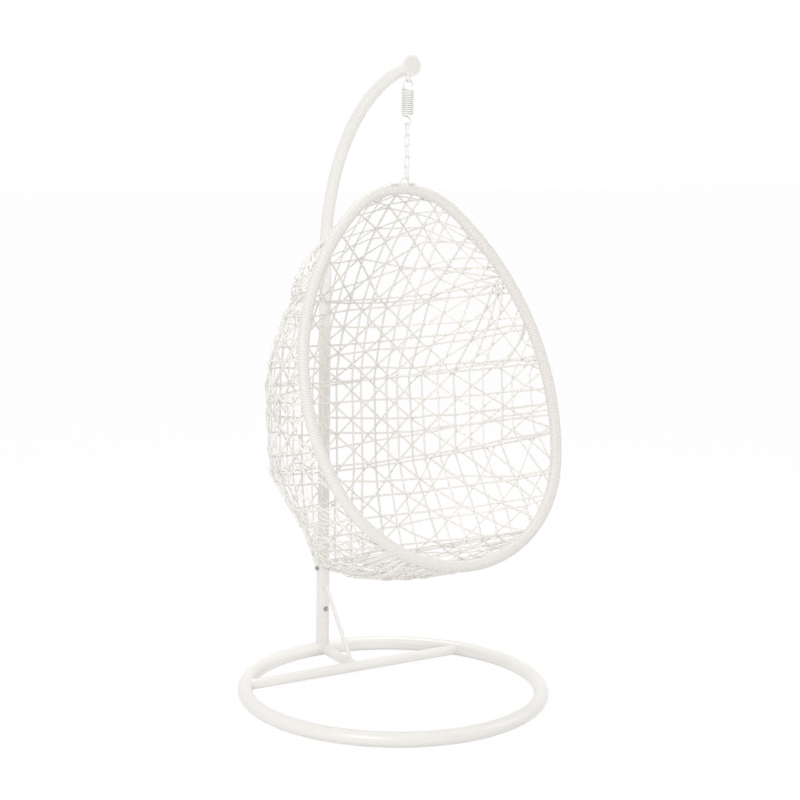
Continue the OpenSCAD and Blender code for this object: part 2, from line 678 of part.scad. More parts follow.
// Places where a strand from a to b crosses columns and rows
function crossings(a, b, cols) = let (d = b - a) [
  for (f = sorted(concat([0, 1],
    [for (c = cols) if (abs(d[0]) > 0.01) (c - a[0]) / d[0]],
    [for (r = rows) if (abs(d[1]) > 0.01) (r - a[1]) / d[1]])))
    if (f >= 0 && f <= 1) a + d * f
];
function strand_rings(places, p, i, j) = [for (k = [i:j]) let (
    t = path_tangent(p, k),
    n0 = shell_normal(places[k][0], places[k][1]),
    b = unit(cross(t, n0)),
    n = cross(b, t)
  ) [for (s = strand_section)
    p[k] + s[0] * b + s[1] * n]];
// Part of a strand inside the panel between ribs c0 and c1 and rows r0 and r1
function inside(q, box) = q[0] > box[0] && q[0] < box[1] && q[1] > box[2] && q[1] < box[3];
// A slanted strand stops at the outer ribs where it wouldn't reach the rim's side, between these rows
side_rows = [1.3, 3.7];
function beside(q) = q[1] > side_rows[0] && q[1] < side_rows[1];
function side_end(q) = on_rim(q[0], 3) && beside(q);
function slant_room(q, line) = line[0][1] == line[1][1] || line[0][0] == line[1][0] || abs(q[0]) < 3 ||
  (beside(q) && (abs(q[0]) < 4 || side_end(abs(q[0] - line[0][0]) < 1 ? line[0] : line[1])));
// Places nearer to a strand's ends than this are left out, because the strand stops short of the rim
end_room = 1.3 * wrap_d;
function thinned(places) = let (
    p = [for (q = places) shell(q[0], q[1])],
    n = len(p) - 1
  ) [for (k = [0:n]) if (k == 0 || k == n || min(norm(p[k] - p[0]), norm(p[k] - p[n])) > end_room) places[k]];
function strand_part(line, box) = let (
    around = line[0][1] == line[1][1],
    places = thinned(crossings(line[0], line[1], around ? columns : fine_columns)),
    mids = [for (k = [0:len(places) - 2]) (places[k] + places[k + 1]) / 2],
    ids = [for (k = [0:len(mids) - 1]) if (inside(mids[k], box) && slant_room(mids[k], line)) k]
  ) len(ids) == 0 ? [] :
    strand_rings(places, shell_path(places, line[2], strand_section), ids[0], ids[len(ids) - 1] + 1);

// Strands around the shell end on the rim, and on the outer ribs where the shell narrows
around_lines = [for (k = [1:around_count - 1]) let (r = 6 * k / around_count, w = r < 1 || r > 4 ? 3 : 5)
  if (min([for (h = [1, 2, 3, 4]) abs(r - h)]) > 0.05) [[-w, r], [w, r], around_layer]];
// Strands down the shell run from the rim's top, or from where it widens, to the rim's bottom
function down_top(c) = c < 3 ? 0 : 1;
function down_end(c) = c < 4 ? 6 : 3;
down_lines = [for (s = [-1, 1]) for (i = [0:4]) for (k = [1:down_count])
  let (c = i + k / (down_count + 1))
  [[s * c, i < 4 ? down_top(c) : 2], [s * c, down_end(c)], down_layer]];
slant_slope = 2.25;
function slant_line(s, k) = let (
    c0 = -5 - slant_slope * 6 + (k + 0.5) * (10 + slant_slope * 6) / slant_count,
    ra = max(0, (-5 - c0) / slant_slope),
    rb = min(6, (5 - c0) / slant_slope)
  ) [[s * (c0 + slant_slope * ra), ra], [s * (c0 + slant_slope * rb), rb],
    slant_layer + (s > 0 ? 0 : layer_step())];
slant_lines = [for (s = [-1, 1]) for (k = [0:slant_count - 1]) slant_line(s, k)];

module weave(box) {
  parts = [for (l = concat(around_lines, down_lines, slant_lines)) strand_part(l, box)];
  color(strand_white) tubes([for (p = parts) if (len(p) > 1) p], 4);
}
module weave_top_left() { weave([-3, -1, 0, 1]); }
module weave_top_center() { weave([-1, 1, 0, 1]); }
module weave_top_right() { weave([1, 3, 0, 1]); }
module weave_upper_far_left() { weave([-5, -3, 1, 2]); }
module weave_upper_left() { weave([-3, -1, 1, 2]); }
module weave_upper_center() { weave([-1, 1, 1, 2]); }
module weave_upper_right() { weave([1, 3, 1, 2]); }
module weave_upper_far_right() { weave([3, 5, 1, 2]); }
module weave_back_far_left() { weave([-5, -3, 2, 4]); }
module weave_back_left() { weave([-3, -1, 2, 4]); }
module weave_back_center() { weave([-1, 1, 2, 4]); }
module weave_back_right() { weave([1, 3, 2, 4]); }
module weave_back_far_right() { weave([3, 5, 2, 4]); }
module weave_seat_rear_left() { weave([-4, -1, 4, 5]); }
module weave_seat_rear_center() { weave([-1, 1, 4, 5]); }
module weave_seat_rear_right() { weave([1, 4, 4, 5]); }
module weave_seat_front_left() { weave([-4, -1, 5, 6]); }
module weave_seat_front_center() { weave([-1, 1, 5, 6]); }
module weave_seat_front_right() { weave([1, 4, 5, 6]); }

base_ring();
cross_bar();
foot_bar();
brace_rod();
lower_post();
upper_pole();
pole_end_flange();
pole_end_plug();
pole_eye();
post_bolts();
post_nuts();
post_washers();
spring();
chain_link_1();
chain_link_2();
chain_link_3();
chain_link_4();
chain_link_5();
basket_bracket();
rim_tube_top();
rim_tube_left();
rim_tube_right();
rim_tube_bottom();
rim_wrap_top();
rim_wrap_left();
rim_wrap_right();
rim_wrap_bottom();
hoop_upper();
hoop_middle();
hoop_lower();
hoop_bottom();
rib_center();
ribs_inner();
ribs_rear_side();
ribs_side();
ribs_front();
weave_top_left();
weave_top_center();
weave_top_right();
weave_upper_far_left();
weave_upper_left();
weave_upper_center();
weave_upper_right();
weave_upper_far_right();
weave_back_far_left();
weave_back_left();
weave_back_center();
weave_back_right();
weave_back_far_right();
weave_seat_rear_left();
weave_seat_rear_center();
weave_seat_rear_right();
weave_seat_front_left();
weave_seat_front_center();
weave_seat_front_right();
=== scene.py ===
import random
from math import asin, atan2, ceil, cos, hypot, pi, radians, sin

import bpy
import numpy as np
from bpy.props import FloatProperty, FloatVectorProperty, IntProperty, PointerProperty
from mathutils import Matrix, Vector


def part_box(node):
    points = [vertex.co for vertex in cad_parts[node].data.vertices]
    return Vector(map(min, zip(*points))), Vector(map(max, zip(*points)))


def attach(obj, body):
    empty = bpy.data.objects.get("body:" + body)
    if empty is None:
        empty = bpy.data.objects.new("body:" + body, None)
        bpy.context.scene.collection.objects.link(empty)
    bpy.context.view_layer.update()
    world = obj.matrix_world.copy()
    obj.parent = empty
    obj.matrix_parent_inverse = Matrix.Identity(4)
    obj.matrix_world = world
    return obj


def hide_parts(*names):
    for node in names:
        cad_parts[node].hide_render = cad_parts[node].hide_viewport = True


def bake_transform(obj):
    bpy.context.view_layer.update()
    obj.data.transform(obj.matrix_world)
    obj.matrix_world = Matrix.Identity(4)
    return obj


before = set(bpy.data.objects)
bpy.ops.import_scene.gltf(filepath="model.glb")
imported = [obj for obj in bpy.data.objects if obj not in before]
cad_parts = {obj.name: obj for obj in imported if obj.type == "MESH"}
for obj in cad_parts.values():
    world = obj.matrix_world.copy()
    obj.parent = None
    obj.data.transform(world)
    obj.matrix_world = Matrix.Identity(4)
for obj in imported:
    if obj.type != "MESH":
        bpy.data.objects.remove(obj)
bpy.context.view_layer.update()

bl_info = {
    "name": "Hanging Egg Chair",
    "version": (1, 0, 0),
    "blender": (4, 5, 0),
    "location": "3D View > Sidebar > Egg Chair",
    "description": "Builds a hanging egg chair: ring stand, spring and chain, wound rim and woven shell",
    "category": "Add Mesh",
}

RING_TOP = float(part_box("base_ring")[1].z)
LAST_LINK_BOTTOM = float(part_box("chain_link_5")[0].z)
LINK_WIRE = 0.005  # thickness of a chain link's wire
SEAT_GAP = 0.0003  # gap between pieces that hang in each other or lie on each other

STAND_NODES = (
    "base_ring", "cross_bar", "foot_bar", "brace_rod", "lower_post", "upper_pole",
    "pole_end_flange", "pole_eye",
)
BOLT_NODES = ("post_bolts", "post_nuts", "post_washers")
LINK_NODES = tuple(f"chain_link_{i}" for i in range(1, 6))
RIM_NODES = tuple(
    f"rim_{part}_{side}" for part in ("wrap", "tube") for side in ("top", "left", "right", "bottom"))
WEAVE_NODES = tuple(sorted(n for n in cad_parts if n.startswith("weave_")))


def size(name, text, default):
    """A length in metres that the user can change."""
    return FloatProperty(name=name, description=text, default=default, unit="LENGTH", precision=4)


def angle(name, text, degrees):
    """An angle that the user can change, kept in radians."""
    return FloatProperty(name=name, description=text, default=radians(degrees), subtype="ANGLE")


def number(name, text, default, **limits):
    """A plain number that the user can change."""
    return FloatProperty(name=name, description=text, default=default, **limits)


def count(name, text, default, **limits):
    """A whole number that the user can change."""
    return IntProperty(name=name, description=text, default=default, **limits)


def colour(name, text, default):
    """A colour that the user can change."""
    return FloatVectorProperty(
        name=name, description=text, default=default, size=3, subtype="COLOR", min=0, max=1)


class EGGCHAIR_PG_stand(bpy.types.PropertyGroup):
    """Sizes of the stand that its welds follow."""

    ring_radius: size("Ring radius", "Radius of the base ring's centre line", 0.4575)
    ring_tube: size("Ring tube", "Radius of the base ring's tube", 0.0225)
    bar_radius: size("Bar radius", "Radius of the cross bar and the foot bar", 0.016)
    cross_bar: size("Cross bar", "Distance of the cross bar behind the ring's centre", 0.233)
    post_radius: size("Post radius", "Outside radius of the lower post", 0.021)
    pole_radius: size("Pole radius", "Outside radius of the upper pole", 0.019)
    bend_radius: size("Pole bend", "Bend radius of the pole's centre line", 0.6)
    bend_start: size("Bend start", "Height at which the pole starts to bend", 1.32)
    bend_sweep: angle("Bend sweep", "Angle through which the pole bends", 81)
    brace_radius: size("Brace radius", "Radius of the brace rod", 0.0065)
    brace_top: size("Brace top", "Height of the brace's upper end on the post", 0.242)
    brace_reach: size("Brace reach", "Distance of the brace's foot from the post's axis", 0.186)
    eye_radius: size("Eye bar", "Radius of the pole eye's bar", 0.00325)
    eye_bend: size("Eye bend", "Bend radius of the pole eye", 0.011)
    bead: size("Weld bead", "Radius of the weld beads", 0.0022)
    ripple: number("Bead ripple", "Height of a weld bead's ripples, as a share of its radius", 0.16,
                   min=0, max=0.5)


class EGGCHAIR_PG_hanger(bpy.types.PropertyGroup):
    """Sizes of the spring and of the bracket on the rim."""

    hang_y: size("Hanging point", "Place of the hanging point along Y", -0.033)
    eye_z: size("Eye height", "Height of the pole eye's lowest point, on its centre line", 1.8683)
    wire: size("Spring wire", "Radius of the spring's wire", 0.0025)
    coil_radius: size("Coil radius", "Radius of the coil's centre line", 0.0157)
    coil_pitch: size("Coil pitch", "Pitch of the spring's coils", 0.0057)
    coil_turns: count("Coil turns", "Number of coils", 13, min=4, max=30)
    loop_radius: size("Loop radius", "Radius of the upper loop's centre line", 0.0143)
    loop_rise: size("Loop rise", "Height of the loop's centre above the coil", 0.014)
    hook_radius: size("Hook radius", "Radius of the lower hook's centre line", 0.011)
    hook_drop: size("Hook drop", "Depth of the hook's centre below the coil", 0.0175)
    bracket_wire: size("Bracket rod", "Radius of the bracket's rod", 0.003)
    bracket_bend: size("Bracket bend", "Bend radius at the bracket's top", 0.009)
    bracket_foot: size("Bracket foot", "Length of each foot of the bracket", 0.014)
    bracket_leg: size("Bracket leg", "Straight length of each leg of the bracket", 0.012)
    bracket_foot_bend: size("Bracket foot bend", "Bend radius between a leg and its foot", 0.015)
    bracket_sweep: angle("Bracket sweep", "Sweep of the bracket's top bend to each side", 70)
    bracket_lean: angle("Bracket lean", "Forward lean of the bracket", 39)


class EGGCHAIR_PG_rim(bpy.types.PropertyGroup):
    """Sizes of the rim, which is bent in four arcs and wound with strand."""

    top_radius: size("Top radius", "Radius of the rim's top arc", 0.2524)
    top_sweep: angle("Top sweep", "Sweep of the top arc to each side", 42.6)
    top_lean: angle("Top lean", "Backward lean of the top arc's plane", 13.7)
    side_radius: size("Side radius", "Radius of the rim's side arcs", 0.743)
    side_sweep: angle("Side sweep", "Sweep of a side arc", 66.9)
    side_turn: angle("Side turn", "Turn of a side arc's plane against the top arc's", 12.4)
    sleeve: size("Sleeve radius", "Outside radius of the wound sleeve", 0.017)
    groove: size("Groove", "Depth of the groove between two turns of strand", 0.0022)
    pitch: size("Winding pitch", "Distance between the turns of strand on the rim", 0.0076)


class EGGCHAIR_PG_shell(bpy.types.PropertyGroup):
    """Sizes of the shell's hoops and ribs."""

    rod: size("Rod radius", "Radius of the rods of the hoops and ribs", 0.0031)
    backs: FloatVectorProperty(
        name="Hoop backs", description="Place of each hoop's back along Y, from the top",
        default=(0.289, 0.378, 0.369, 0.370), size=4, unit="LENGTH")
    heights: FloatVectorProperty(
        name="Hoop heights", description="Height of each hoop's back, from the top",
        default=(1.201, 0.928, 0.640, 0.335), size=4, unit="LENGTH")
    squareness: FloatVectorProperty(
        name="Hoop squareness", description="2 is an ellipse, and more is squarer",
        default=(2.11, 2.43, 2.6, 2.15), size=4)
    top_bulge: size("Top bulge", "Outward bulge above the upper hoop", 0.030)
    upper_bulge: size("Upper bulge", "Outward bulge between the upper and middle hoops", 0.016)
    lower_bulge: size("Lower bulge", "Outward bulge between the lower and bottom hoops", 0.020)
    seat_sag: size("Seat sag", "Sag of the seat below the line from the bottom hoop to the rim", 0.040)


class EGGCHAIR_PG_weave(bpy.types.PropertyGroup):
    """Sizes and counts of the woven strands."""

    width: size("Strand width", "Width of a strand", 0.0064)
    thickness: size("Strand thickness", "Thickness of a strand", 0.0024)
    around: count("Around", "Spaces between level strands, from the rim's top to its bottom", 34)
    slanted: count("Slanted", "Slanted strands in each direction", 31)
    down: count("Down", "Strands down each gap between ribs", 2)
    slope: number("Slope", "Gaps between ribs that a slanted strand crosses per hoop", 2.25)
    unevenness: number("Unevenness", "How far a strand strays from its place, as a share of the spacing", 0.3,
                       min=0, max=0.5)
    seed: count("Seed", "Seed of the strands' unevenness", 7)


class EGGCHAIR_PG_finish(bpy.types.PropertyGroup):
    """Colours of the finishes."""

    powder: colour("Powder coat", "Warm white powder coat of the stand", (0.85, 0.83, 0.795))
    rods: colour("Rods", "Powder coat of the basket's rods", (0.84, 0.82, 0.785))
    hardware: colour("Spring and chain", "White finish of the spring and the chain", (0.85, 0.84, 0.815))
    strand: colour("Strand", "Cream white plastic strand", (0.92, 0.89, 0.845))
    winding: colour("Winding", "Cream white strand wound on the rim", (0.85, 0.815, 0.775))
    zinc: colour("Zinc", "Zinc plating of the bolts", (0.46, 0.46, 0.47))
    plug: colour("Plug", "Moulded plastic plug in the pole's end", (0.79, 0.77, 0.735))


class EGGCHAIR_PG_stage(bpy.types.PropertyGroup):
    """Floor, lamps and camera."""

    floor: colour("Floor", "Colour of the floor", (0.93, 0.93, 0.93))
    key: number("Key lamp", "Power of the lamp at the front left, in watts", 100)
    fill: number("Fill lamp", "Power of the lamp at the right, in watts", 28)
    top: number("Top lamp", "Power of the lamp above, in watts", 60)
    world: number("World", "Strength of the even light all round", 0.60)
    lens: number("Lens", "Focal length on a 36 mm sensor", 78.54)


# ---- curves ----

def unit(v):
    v = np.asarray(v, float)
    return v / np.linalg.norm(v)


def mix(a, b, f):
    return a + (b - a) * f


def mirrored(p):
    return np.array([-p[0], p[1], p[2]])


def bezier(a, b, c, d, f):
    g = 1 - f
    return g ** 3 * a + 3 * g * g * f * b + 3 * g * f * f * c + f ** 3 * d


def lookup(table, x):
    """The value at x in a table of (x, value) pairs, straight between them."""
    return float(np.interp(x, [row[0] for row in table], [row[1] for row in table]))


class Arc:
    """A circular arc that starts at a point along a tangent and turns towards its centre."""

    def __init__(self, start, tangent, inward, radius, sweep):
        self.start, self.tangent, self.inward = (np.array(v, float) for v in (start, tangent, inward))
        self.radius, self.sweep = radius, sweep

    def point(self, f):
        g = f * self.sweep
        return self.start + self.radius * (sin(g) * self.tangent + (1 - cos(g)) * self.inward)

    def way(self, f):
        g = f * self.sweep
        return cos(g) * self.tangent + sin(g) * self.inward

    def centre_way(self, f):
        """The direction from a point of the arc to its centre."""
        g = f * self.sweep
        return cos(g) * self.inward - sin(g) * self.tangent


class Rim:
    """The rim's right half: places 0 to 1 on the top arc, 1 to 2 on the side, 2 to 3 on the bottom."""

    def __init__(self, scene):
        s, h = scene.egg_rim, scene.egg_hanger
        # The rim hangs by its bracket from the last link, so the bracket's sizes give its height
        apex = LAST_LINK_BOTTOM + LINK_WIRE + SEAT_GAP + h.bracket_wire
        self.bracket_rise = s.sleeve + h.bracket_wire + SEAT_GAP
        self.seat_radius = s.top_radius / cos(h.bracket_lean + s.top_lean) + self.bracket_rise
        sweep = h.bracket_sweep
        reach = (h.bracket_bend + h.bracket_foot_bend) * sin(sweep) + h.bracket_leg * cos(sweep)
        self.toe = asin(reach / (self.seat_radius + h.bracket_foot_bend))
        self.bracket_height = (
            self.bracket_rise - self.seat_radius * (1 - cos(self.toe))
            + h.bracket_bend * (1 - cos(sweep)) + h.bracket_leg * sin(sweep)
            + h.bracket_foot_bend * (cos(self.toe) - cos(sweep)))
        self.y = h.hang_y + self.bracket_height * sin(h.bracket_lean)
        self.z = apex - self.bracket_height * cos(h.bracket_lean)
        lean = s.top_lean
        top = Arc((0, self.y, self.z), (1, 0, 0), (0, -sin(lean), -cos(lean)),
                  s.top_radius, s.top_sweep)
        t, c = top.way(1), top.centre_way(1)
        side = Arc(top.point(1), t, cos(s.side_turn) * c - sin(s.side_turn) * np.cross(t, c),
                   s.side_radius, s.side_sweep)
        p, t = side.point(1), side.way(1)
        d = unit((0, t[1], t[2]))
        sweep = atan2(t @ d, -t[0])
        bottom = Arc(p, t, (-(t @ d), t[0] * d[1], t[0] * d[2]), p[0] / sin(sweep), sweep)
        self.arcs = (top, side, bottom)

    def point(self, s):
        i = 0 if s <= 1 else 1 if s <= 2 else 2
        return self.arcs[i].point(s - i)

    def outline(self, step):
        """Points all round the rim, one every step along it."""
        half = []
        for arc in self.arcs:
            n = max(2, round(arc.radius * arc.sweep / step))
            half += [arc.point(k / n) for k in range(n)]
        half.append(self.arcs[2].point(1))
        left = [mirrored(p) for p in half[-2:0:-1]]
        return np.array(half + left)


# Rows of the shell, counted in hoops from the rim's top to its bottom at the seat, and columns, counted in
# ribs from the back's middle to the rim's sides
UPPER_HOOP, BOTTOM_HOOP, SEAT_ROW = 1, 4, 6
SIDE_RIB, FRONT_RIB, RIM_COLUMN = 3, 4, 5

# Places on the rim where the columns start at the top, where the hoops end, and where the columns end at the
# seat, and for each hoop the angles at which it crosses the columns, in degrees from the back's middle
TOP_STATIONS = ((0, 0), (1, 0.744), (2, 1.102), (3, 1.266), (4, 1.326), (5, 1.326))
SIDE_STATIONS = ((1, 1.326), (2, 1.637), (3, 1.891), (4, 2.502))
SEAT_STATIONS = ((0, 3), (1, 2.876), (2, 2.752), (3, 2.641), (4, 2.502), (5, 2.502))
HOOP_ANGLES = (
    ((0, 0), (1, 20), (2, 43), (3, 80), (4, 90), (5, 90)),
    ((0, 0), (1, 14.5), (2, 30), (3, 50.5), (4, 72.8), (5, 90)),
    ((0, 0), (1, 14.2), (2, 31.4), (3, 51.1), (4, 71.5), (5, 90)),
    ((0, 0), (1, 31.7), (2, 56.6), (3, 73.1), (4, 90), (5, 90)),
)
SHELL_FOCUS = np.array((0, -0.1, 1.15))  # the point from which the shell bulges outward
NORMAL_STEP = 0.15  # rows or columns to each side over which a normal is measured
NORMAL_EDGE = 0.2  # rows or columns inside the shell's edges, where its normals stay steady
PATH_STEP = 0.1  # rows or columns between the points of a rod


class Shell:
    """The woven surface: c counts ribs from the back's middle, r counts hoops from the top."""

    def __init__(self, scene):
        self.s = scene.egg_shell
        self.rim = Rim(scene)

    def hoop(self, i, c):
        """A point of a hoop, which is a superellipse that ends on the rim's sides."""
        s, square = self.s, 2 / self.s.squareness[i]
        end = self.rim.point(lookup(SIDE_STATIONS, i + 1))
        g = radians(lookup(HOOP_ANGLES[i], c))
        back = max(cos(g), 0) ** square
        return np.array((end[0] * max(sin(g), 0) ** square,
                         mix(end[1], s.backs[i], back), mix(end[2], s.heights[i], back)))

    def row(self, c, i):
        """A point of the rim's top, a hoop or, as the fifth row, the rim's bottom."""
        if i == 0:
            return self.rim.point(lookup(TOP_STATIONS, c))
        if i > BOTTOM_HOOP:
            return self.rim.point(lookup(SEAT_STATIONS, c))
        return self.hoop(i - 1, c)

    def flat(self, c, r):
        """A point straight between the rows."""
        if r < BOTTOM_HOOP:
            i = int(r)
            return mix(self.row(c, i), self.row(c, i + 1), r - i)
        return mix(self.row(c, BOTTOM_HOOP), self.row(c, BOTTOM_HOOP + 1),
                   (r - BOTTOM_HOOP) / (SEAT_ROW - BOTTOM_HOOP))

    def side(self, c, r):
        """A point of the right half: bulged between the hoops, sagging at the seat and bent to the rim."""
        s, p, i = self.s, self.flat(c, r), int(r)
        if r > BOTTOM_HOOP:
            across = max(1 - (c / FRONT_RIB) ** 2, 0)
            swell = np.array((0, 0, -s.seat_sag * (r - BOTTOM_HOOP) * (SEAT_ROW - r) * across))
        else:
            bulge = {0: s.top_bulge, 1: s.upper_bulge, 3: s.lower_bulge}.get(i, 0)
            swell = bulge * 4 * (r - i) * (i + 1 - r) * unit(p - SHELL_FOCUS)
        q = p + swell * min(1, RIM_COLUMN - c)
        if UPPER_HOOP < r < BOTTOM_HOOP:
            miss = self.rim.point(lookup(SIDE_STATIONS, r)) - self.flat(RIM_COLUMN, r)
            q = q + miss * (c / RIM_COLUMN) ** 2
        return q

    def point(self, c, r):
        p = self.side(abs(c), r)
        return mirrored(p) if c < 0 else p

    def normal(self, c, r):
        q = min(max(r, NORMAL_EDGE), SEAT_ROW - NORMAL_EDGE)
        wide = UPPER_HOOP + 2 * NORMAL_STEP < q < BOTTOM_HOOP - 2 * NORMAL_STEP
        last = RIM_COLUMN - NORMAL_EDGE if wide else FRONT_RIB - 2 * NORMAL_STEP
        a = min(max(c, -last), last)
        u = self.point(a + NORMAL_STEP, q) - self.point(a - NORMAL_STEP, q)
        v = self.point(a, q + NORMAL_STEP) - self.point(a, q - NORMAL_STEP)
        return unit(np.cross(u, v))

    def path(self, places, offset):
        """The points of a path of (c, r) places, lifted off the surface."""
        return np.array([self.point(c, r) + offset * self.normal(c, r) for c, r in places])


def fine(places):
    """The same path of (c, r) places with a point at least every PATH_STEP."""
    out = [places[0]]
    for a, b in zip(places, places[1:]):
        n = max(1, ceil(max(abs(b[0] - a[0]), abs(b[1] - a[1])) / PATH_STEP - 1e-6))
        out += [(mix(a[0], b[0], k / n), mix(a[1], b[1], k / n)) for k in range(1, n + 1)]
    return out


# ---- meshes ----

BEAD_SIDES = 8
RIPPLE_LENGTH = 0.0035  # length of one ripple of a weld bead
SEARCH_STEP, SEARCH_STEPS = 0.002, 120  # how finely and how far a bead looks for the surface it lies on


def ways(points, closed=False):
    """Unit tangents along a path of points."""
    d = np.roll(points, -1, 0) - np.roll(points, 1, 0) if closed else np.gradient(points, axis=0)
    return d / np.linalg.norm(d, axis=1)[:, None]


def carried(points, start, closed=False):
    """Side vectors carried along a path without twist, closing up smoothly round a loop."""
    t = ways(points, closed)
    n, out = np.array(start, float), []
    for way in t:
        n = unit(n - (n @ way) * way)
        out.append(n)
    out = np.array(out)
    if closed:
        last = unit(out[-1] - (out[-1] @ t[0]) * t[0])
        miss = atan2(np.cross(last, out[0]) @ t[0], last @ out[0])
        turn = miss * np.arange(len(out)) / len(out)
        side = np.cross(t, out)
        out = out * np.cos(turn)[:, None] + side * np.sin(turn)[:, None]
    return out


def placed(name, data):
    """A new object in the scene."""
    made = bpy.data.objects.new(name, data)
    bpy.context.scene.collection.objects.link(made)
    return made


class Builder:
    """Collects swept pieces and turns them into one smooth mesh object."""

    def __init__(self):
        self.verts, self.faces, self.uvs, self.tones_and_shades = [], [], [], []

    def sweep(self, points, normals, section, closed=False, tone_and_shade=0.5, radii=None):
        """One swept piece, through sections of (across, outward) points.

        radii scales a section point by point, ring after ring. The tone-and-shade value is one number, or one
        for each point: a tone that differs at random from strand to strand, and on the wound rim painted
        shade in the grooves.
        """
        p, n = np.asarray(points, float), np.asarray(normals, float)
        t = ways(p, closed)
        b = np.cross(t, n)
        b /= np.linalg.norm(b, axis=1)[:, None]
        n = np.cross(b, t)
        m, rows, base = len(section), len(p), len(self.tones_and_shades)
        scale = 1 if radii is None else radii[..., None]
        grid = p[:, None] + (b[:, None] * section[:, :1] + n[:, None] * section[:, 1:]) * scale
        self.verts.append(grid.reshape(-1, 3))
        step = np.linalg.norm(np.diff(p, axis=0), axis=1)
        along = np.concatenate(([0], np.cumsum(step)))
        end = along[-1] + (np.linalg.norm(p[0] - p[-1]) if closed else 0)
        for i in range(rows if closed else rows - 1):
            j = (i + 1) % rows
            far = end if j == 0 else along[j]
            for k in range(m):
                q = (k + 1) % m
                self.faces.append((base + i * m + k, base + i * m + q, base + j * m + q, base + j * m + k))
                self.uvs += [(along[i], k / m), (along[i], (k + 1) / m), (far, (k + 1) / m), (far, k / m)]
        if not closed:
            for row, order, place in ((0, range(m - 1, -1, -1), 0), (rows - 1, range(m), end)):
                self.faces.append(tuple(base + row * m + k for k in order))
                self.uvs += [(place, k / m) for k in order]
        self.tones_and_shades += np.broadcast_to(tone_and_shade, (rows, m)).ravel().tolist()

    def make(self, name, material, slot):
        """The object, with its uv map in metres along a piece and its tone-and-shade value for each point,
        which holds a random tone and the painted groove shade.
        """
        mesh = bpy.data.meshes.new(name)
        mesh.from_pydata(np.concatenate(self.verts).tolist(), [], self.faces)
        layer = mesh.uv_layers.new(name="strand")
        layer.data.foreach_set("uv", np.array(self.uvs, np.float32).ravel())
        tone_and_shade = mesh.attributes.new("tone_and_shade", "FLOAT", "POINT")
        tone_and_shade.data.foreach_set("value", np.array(self.tones_and_shades, np.float32))
        mesh.polygons.foreach_set("use_smooth", [len(f) == 4 for f in self.faces])
        mesh.materials.append(material)
        piece = placed(name, mesh)
        return piece


def circle(radius, sides):
    """A round section."""
    g = 2 * pi * np.arange(sides) / sides
    return np.stack((np.cos(g), np.sin(g)), 1) * radius


def met(p, way, distance):
    """How far a point runs along a way before it meets the surface that distance is zero on."""
    for i in range(SEARCH_STEPS):
        near, far = SEARCH_STEP * i, SEARCH_STEP * (i + 1)
        if distance(p + way * far) < 0:
            break
    else:
        raise ValueError("a weld bead finds no surface")
    for _ in range(20):
        half = (near + far) / 2
        near, far = (near, half) if distance(p + way * half) < 0 else (half, far)
    return near


def bead(builder, settings, start, way, radius, distance, steps=72):
    """A weld bead where a round bar, run from start along way, meets a surface."""
    way = unit(way)
    side = unit(np.cross(way, (1, 0, 0) if abs(way[0]) < 0.8 else (0, 0, 1)))
    bar = circle(radius, steps) @ np.array((side, np.cross(way, side))) + start
    points = np.array([p + way * met(p, way, distance) for p in bar])
    ripples = max(8, round(2 * pi * radius / RIPPLE_LENGTH))
    lay_bead(builder, settings, resample(points, steps * 3), way, ripples)


def lay_bead(builder, settings, loop, way, ripples):
    """A rippled weld bead along a loop that runs round a way."""
    wave = 1 + settings.ripple * np.sin(2 * pi * ripples * np.arange(len(loop)) / len(loop))
    radii = np.repeat(wave[:, None], BEAD_SIDES, 1) * settings.bead
    builder.sweep(loop, carried(loop, way, True), circle(1, BEAD_SIDES), True, radii=radii)


def resample(points, count):
    """A closed path with evenly spread points."""
    p = np.vstack((points, points[:1]))
    along = np.concatenate(([0], np.cumsum(np.linalg.norm(np.diff(p, axis=0), axis=1))))
    places = np.linspace(0, along[-1], count, endpoint=False)
    return np.stack([np.interp(places, along, p[:, k]) for k in range(3)], 1)


# ---- materials ----

class Value:
    """A shader socket that takes part in Python arithmetic."""

    def __init__(self, nodes, socket):
        self.nodes, self.socket = nodes, socket

    def output(self, name):
        """Another output of the same node."""
        return Value(self.nodes, self.socket.node.outputs[name])

    def maths(self, operation, *others):
        return self.nodes.node("ShaderNodeMath", {"operation": operation}, self, *others)

    def __add__(self, other):
        return self.maths("ADD", other)

    def __mul__(self, other):
        return self.maths("MULTIPLY", other)

    __radd__ = __add__
    __rmul__ = __mul__


class Nodes:
    """A node tree, and the one method that adds a node to it."""

    def __init__(self, tree):
        self.tree = tree

    def node(self, kind, settings, *values, out=0, **named):
        """Adds a node: its settings first, then what its inputs hold, by order or by name."""
        made = self.tree.nodes.new(kind)
        for key, value in settings.items():
            setattr(made, key, value)
        for key, value in (*enumerate(values), *named.items()):
            if isinstance(value, Value):
                self.link(value, made.inputs[key])
            elif value is not None:
                made.inputs[key].default_value = value
        return Value(self, made.outputs[out])

    def link(self, value, socket):
        self.tree.links.new(value.socket, socket)

    def seen(self):
        """1 for what the camera sees, straight or in gloss and glass, and 0 for light on the object."""
        path = self.node("ShaderNodeLightPath", {}, out="Is Camera Ray")
        total = path + path.output("Is Glossy Ray") + path.output("Is Transmission Ray")
        return total.maths("MINIMUM", 1.0)


